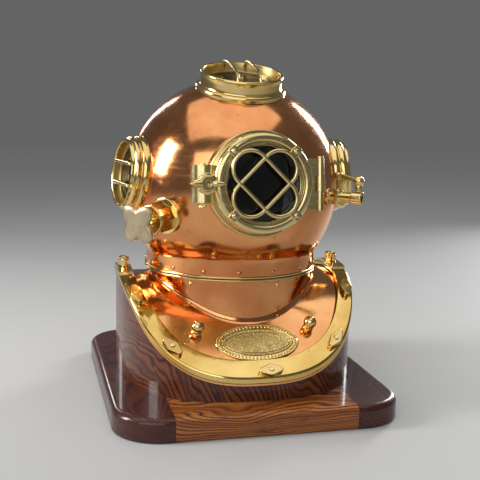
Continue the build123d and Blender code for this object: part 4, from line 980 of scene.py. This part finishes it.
# Side and top ports
def make_top_bars():
    """Two bars over the top glass: they rise off the ring's inner wall and bow over its rim."""
    wall_radius, aside, foot_height, bow, bar_radius = 50.6, 16, 160, 17, 2.3
    squareness = 0.62
    steps = 64
    bars = []
    for offset in (-aside, aside):
        foot = sqrt(wall_radius**2 - offset**2)
        path = []
        for step in range(steps + 1):
            turn = pi * step / steps
            along = -foot * copysign(abs(cos(turn)) ** squareness, cos(turn))
            path.append(top @ Vector((offset, along, foot_height + bow * sin(turn) ** squareness)))
        bars.append(rod_along("top_bar", path, bar_radius))
    finished(joined("top_guard_bars", *bars), "bonnet", ["top_port_guard"], door_brass, 50)


def make_port_rings():
    """Rounded mouldings that sit on the dome. Gives the finish of each port's retainer."""
    side_moulding = (
        (54.0, 146.2), (54.3, 148.6), (53.9, 151.2), (52.7, 153.3), (50.9, 154.5), (49.7, 154.8),
        (49.3, 155.5), (49.7, 156.2), (50.9, 156.7), (51.6, 158.2), (51.8, 160.2), (51.4, 162.2),
        (50.3, 163.5), (48.6, 164.1), (47.8, 164.8), (47.5, 166.2), (47.6, 168.2), (47.1, 169.3),
        (45.9, 169.7), (44.6, 169.4), (43.8, 168.6), (43.5, 167.2), (43.5, 151.8), (side_hole, 151.8),
    )
    top_moulding = (
        (63.4, 142.8), (64.0, 144.6), (63.9, 146.6), (63.0, 148.3), (61.4, 149.2), (59.6, 149.4),
        (58.4, 149.8), (58.0, 150.6), (57.9, 154.0), (57.9, 160.0), (57.9, 164.8), (58.3, 165.4),
        (58.7, 166.6), (58.4, 168.0), (57.5, 168.8), (56.0, 169.0), (54.5, 168.6), (53.6, 167.4),
        (53.6, 149.6), (top_hole, 149.6),
    )
    sunk, foot_steps = 1, 6
    retainer_finishes = {}
    rings = (
        ("left_port", left, side_moulding),
        ("right_port", right, side_moulding),
        ("top_port", top, top_moulding),
    )
    for name, axes, moulding in rings:
        widest, pocket, bore = moulding[0][0], moulding[-2][0], moulding[-1][0]
        # Each port's brass carries painted shade on the port's inner wall
        port_brass = polished_metal(
            f"{name}_brass", brass_bright, brass_dull, 0.12, 0.24, port=(axes, pocket)
        )
        foot = [bore + (widest - bore) * step / foot_steps for step in range(foot_steps + 1)]
        outline = [(radius, sqrt((dome_radius - sunk) ** 2 - radius**2)) for radius in foot]
        ring = lathe(f"{name}_ring", [*outline, *moulding], axes, 224)
        finished(ring, "bonnet", [f"{name}_seat"], port_brass, 38)
        retainer_finishes[f"{name}_retainer"] = port_brass
    return retainer_finishes


make_top_bars()
retainer_finishes = make_port_rings()

# Castings, their edges melted a little: name, body, solid, voxel, smoothing passes and finish
castings = (
    ("swing_bolt_forging", "swing_bolt", "swing_bolt", 0.4, 2, door_brass),
    ("spit_lever_casting", "spit_lever", "spit_cock_lever", 0.4, 4, cast_brass),
    ("spit_cock_casting", "bonnet", "spit_cock_body", 0.5, 4, cast_brass),
    ("air_elbow_casting", "bonnet", "air_inlet_elbow", 0.7, 5, cast_brass),
    ("telephone_elbow_casting", "bonnet", "telephone_elbow", 0.7, 5, cast_brass),
    ("rim_nut_castings", "corselet", "brail_nuts", 0.5, 1, nut_brass),
    ("shoulder_nut_castings", "corselet", "shoulder_nuts", 0.4, 2, cast_brass),
)
for casting, body, solid, voxel, passes, finish in castings:
    softened(casting, body, [solid], voxel, passes, finish)


def dress_solids():
    """Gives every solid its own finish, or its material slot's."""
    slot_finishes = {
        "copper": sheet_copper,
        "brass": polished_brass,
        "satin_brass": satin_brass,
        "glass": glass,
        "packing": leather,
    }
    door_like = ("front_door", "front_seat", "hinge_pin", "left_port_guard", "right_port_guard")
    own_finishes = {**woods, **retainer_finishes, **dict.fromkeys(door_like, door_brass)}
    for part in frame["record"]["subparts"]:
        node = nodes[part["node"]]
        node.data.materials.clear()
        finish = own_finishes.get(part["node"]) or slot_finishes[part["material_slot"]]
        node.data.materials.append(finish)


dress_solids()


# Stage, light and camera
def make_floor():
    half = 6000
    corners = [(-half, -half, 0), (half, -half, 0), (half, half, 0), (-half, half, 0)]
    floor = mesh_piece("floor", corners, [(0, 1, 2, 3)])
    paper = Finish("floor_paper")
    colour = paper.tint(paper.cloud(3, 2), (0.46, 0.46, 0.455), (0.49, 0.49, 0.485))
    floor.data.materials.append(paper.surface(Base_Color=colour, Roughness=0.7))


def soft_box(name, place, aim_height, size, watts, spread=180):
    """A rectangular lamp, in metres, that looks at a point over the stand's middle."""
    lamp = bpy.data.lights.new(name, "AREA")
    lamp.shape = "RECTANGLE"
    lamp.size, lamp.size_y = size
    lamp.energy = watts
    lamp.spread = radians(spread)
    light = linked(name, lamp)
    light.location = place
    facing = Vector(place) - Vector((0, 0, aim_height))
    light.rotation_euler = facing.to_track_quat("Z", "Y").to_euler()


def make_studio():
    """The studio is grey where it is seen, and a little lighter where it only lights."""
    seen_strength, light_strength = 0.13, 0.27
    world = bpy.data.worlds.new("studio")
    bpy.context.scene.world = world
    world.use_nodes = True
    air = Tree(world.node_tree)
    seen, glossy, through = (
        air.node("ShaderNodeLightPath", out=f"Is {kind} Ray")
        for kind in ("Camera", "Glossy", "Transmission")
    )
    share = seen.maths("MAXIMUM", glossy).maths("MAXIMUM", through)
    strength = share * (seen_strength - light_strength) + light_strength
    glow = air.node("ShaderNodeBackground", None, {"Color": (0.98, 0.99, 1, 1), "Strength": strength})
    air.node("ShaderNodeOutputWorld", None, {"Surface": glow})


def make_camera():
    """The photograph's viewpoint, worked out from the dome, the ports and the board's edges."""
    turn, rise, roll = radians(-14.392), radians(9.403), radians(1.386)
    reach, aside, aim_height = 1288.3, 14.27, 215.4
    focal_pixels, photo_side = 862.64, 480
    level = Vector((cos(turn), sin(turn), 0))
    back = Vector((sin(turn) * cos(rise), -cos(turn) * cos(rise), sin(rise)))
    across = level * cos(roll) + back.cross(level) * sin(roll)
    aim = level * aside + Vector((0, helmet_axis, aim_height))
    lens = bpy.data.cameras.new("camera")
    lens.sensor_width = 36
    lens.lens = focal_pixels * lens.sensor_width / photo_side
    lens.clip_start = 0.05
    camera = linked("camera", lens)
    camera.matrix_world = placed((aim + back * reach) * MM, across, back)
    bpy.context.scene.camera = camera


make_floor()
soft_box("window", (-1.95, 0.15, 1.05), 0.3, (0.55, 0.95), 15, spread=110)
soft_box("ceiling", (-0.15, -0.3, 2.5), 0.25, (3.2, 2.4), 24)
soft_box("front", (-1.1, -2.1, 1.15), 0.25, (2.5, 1.6), 21)
soft_box("rim", (1.6, 1.45, 0.85), 0.3, (0.4, 1.3), 5, spread=70)
soft_box("far_rim", (-0.62, 2.3, 1.2), 0.38, (0.24, 1.0), 0.5, spread=50)
make_studio()
make_camera()
bpy.context.scene.view_settings.view_transform = "Standard"
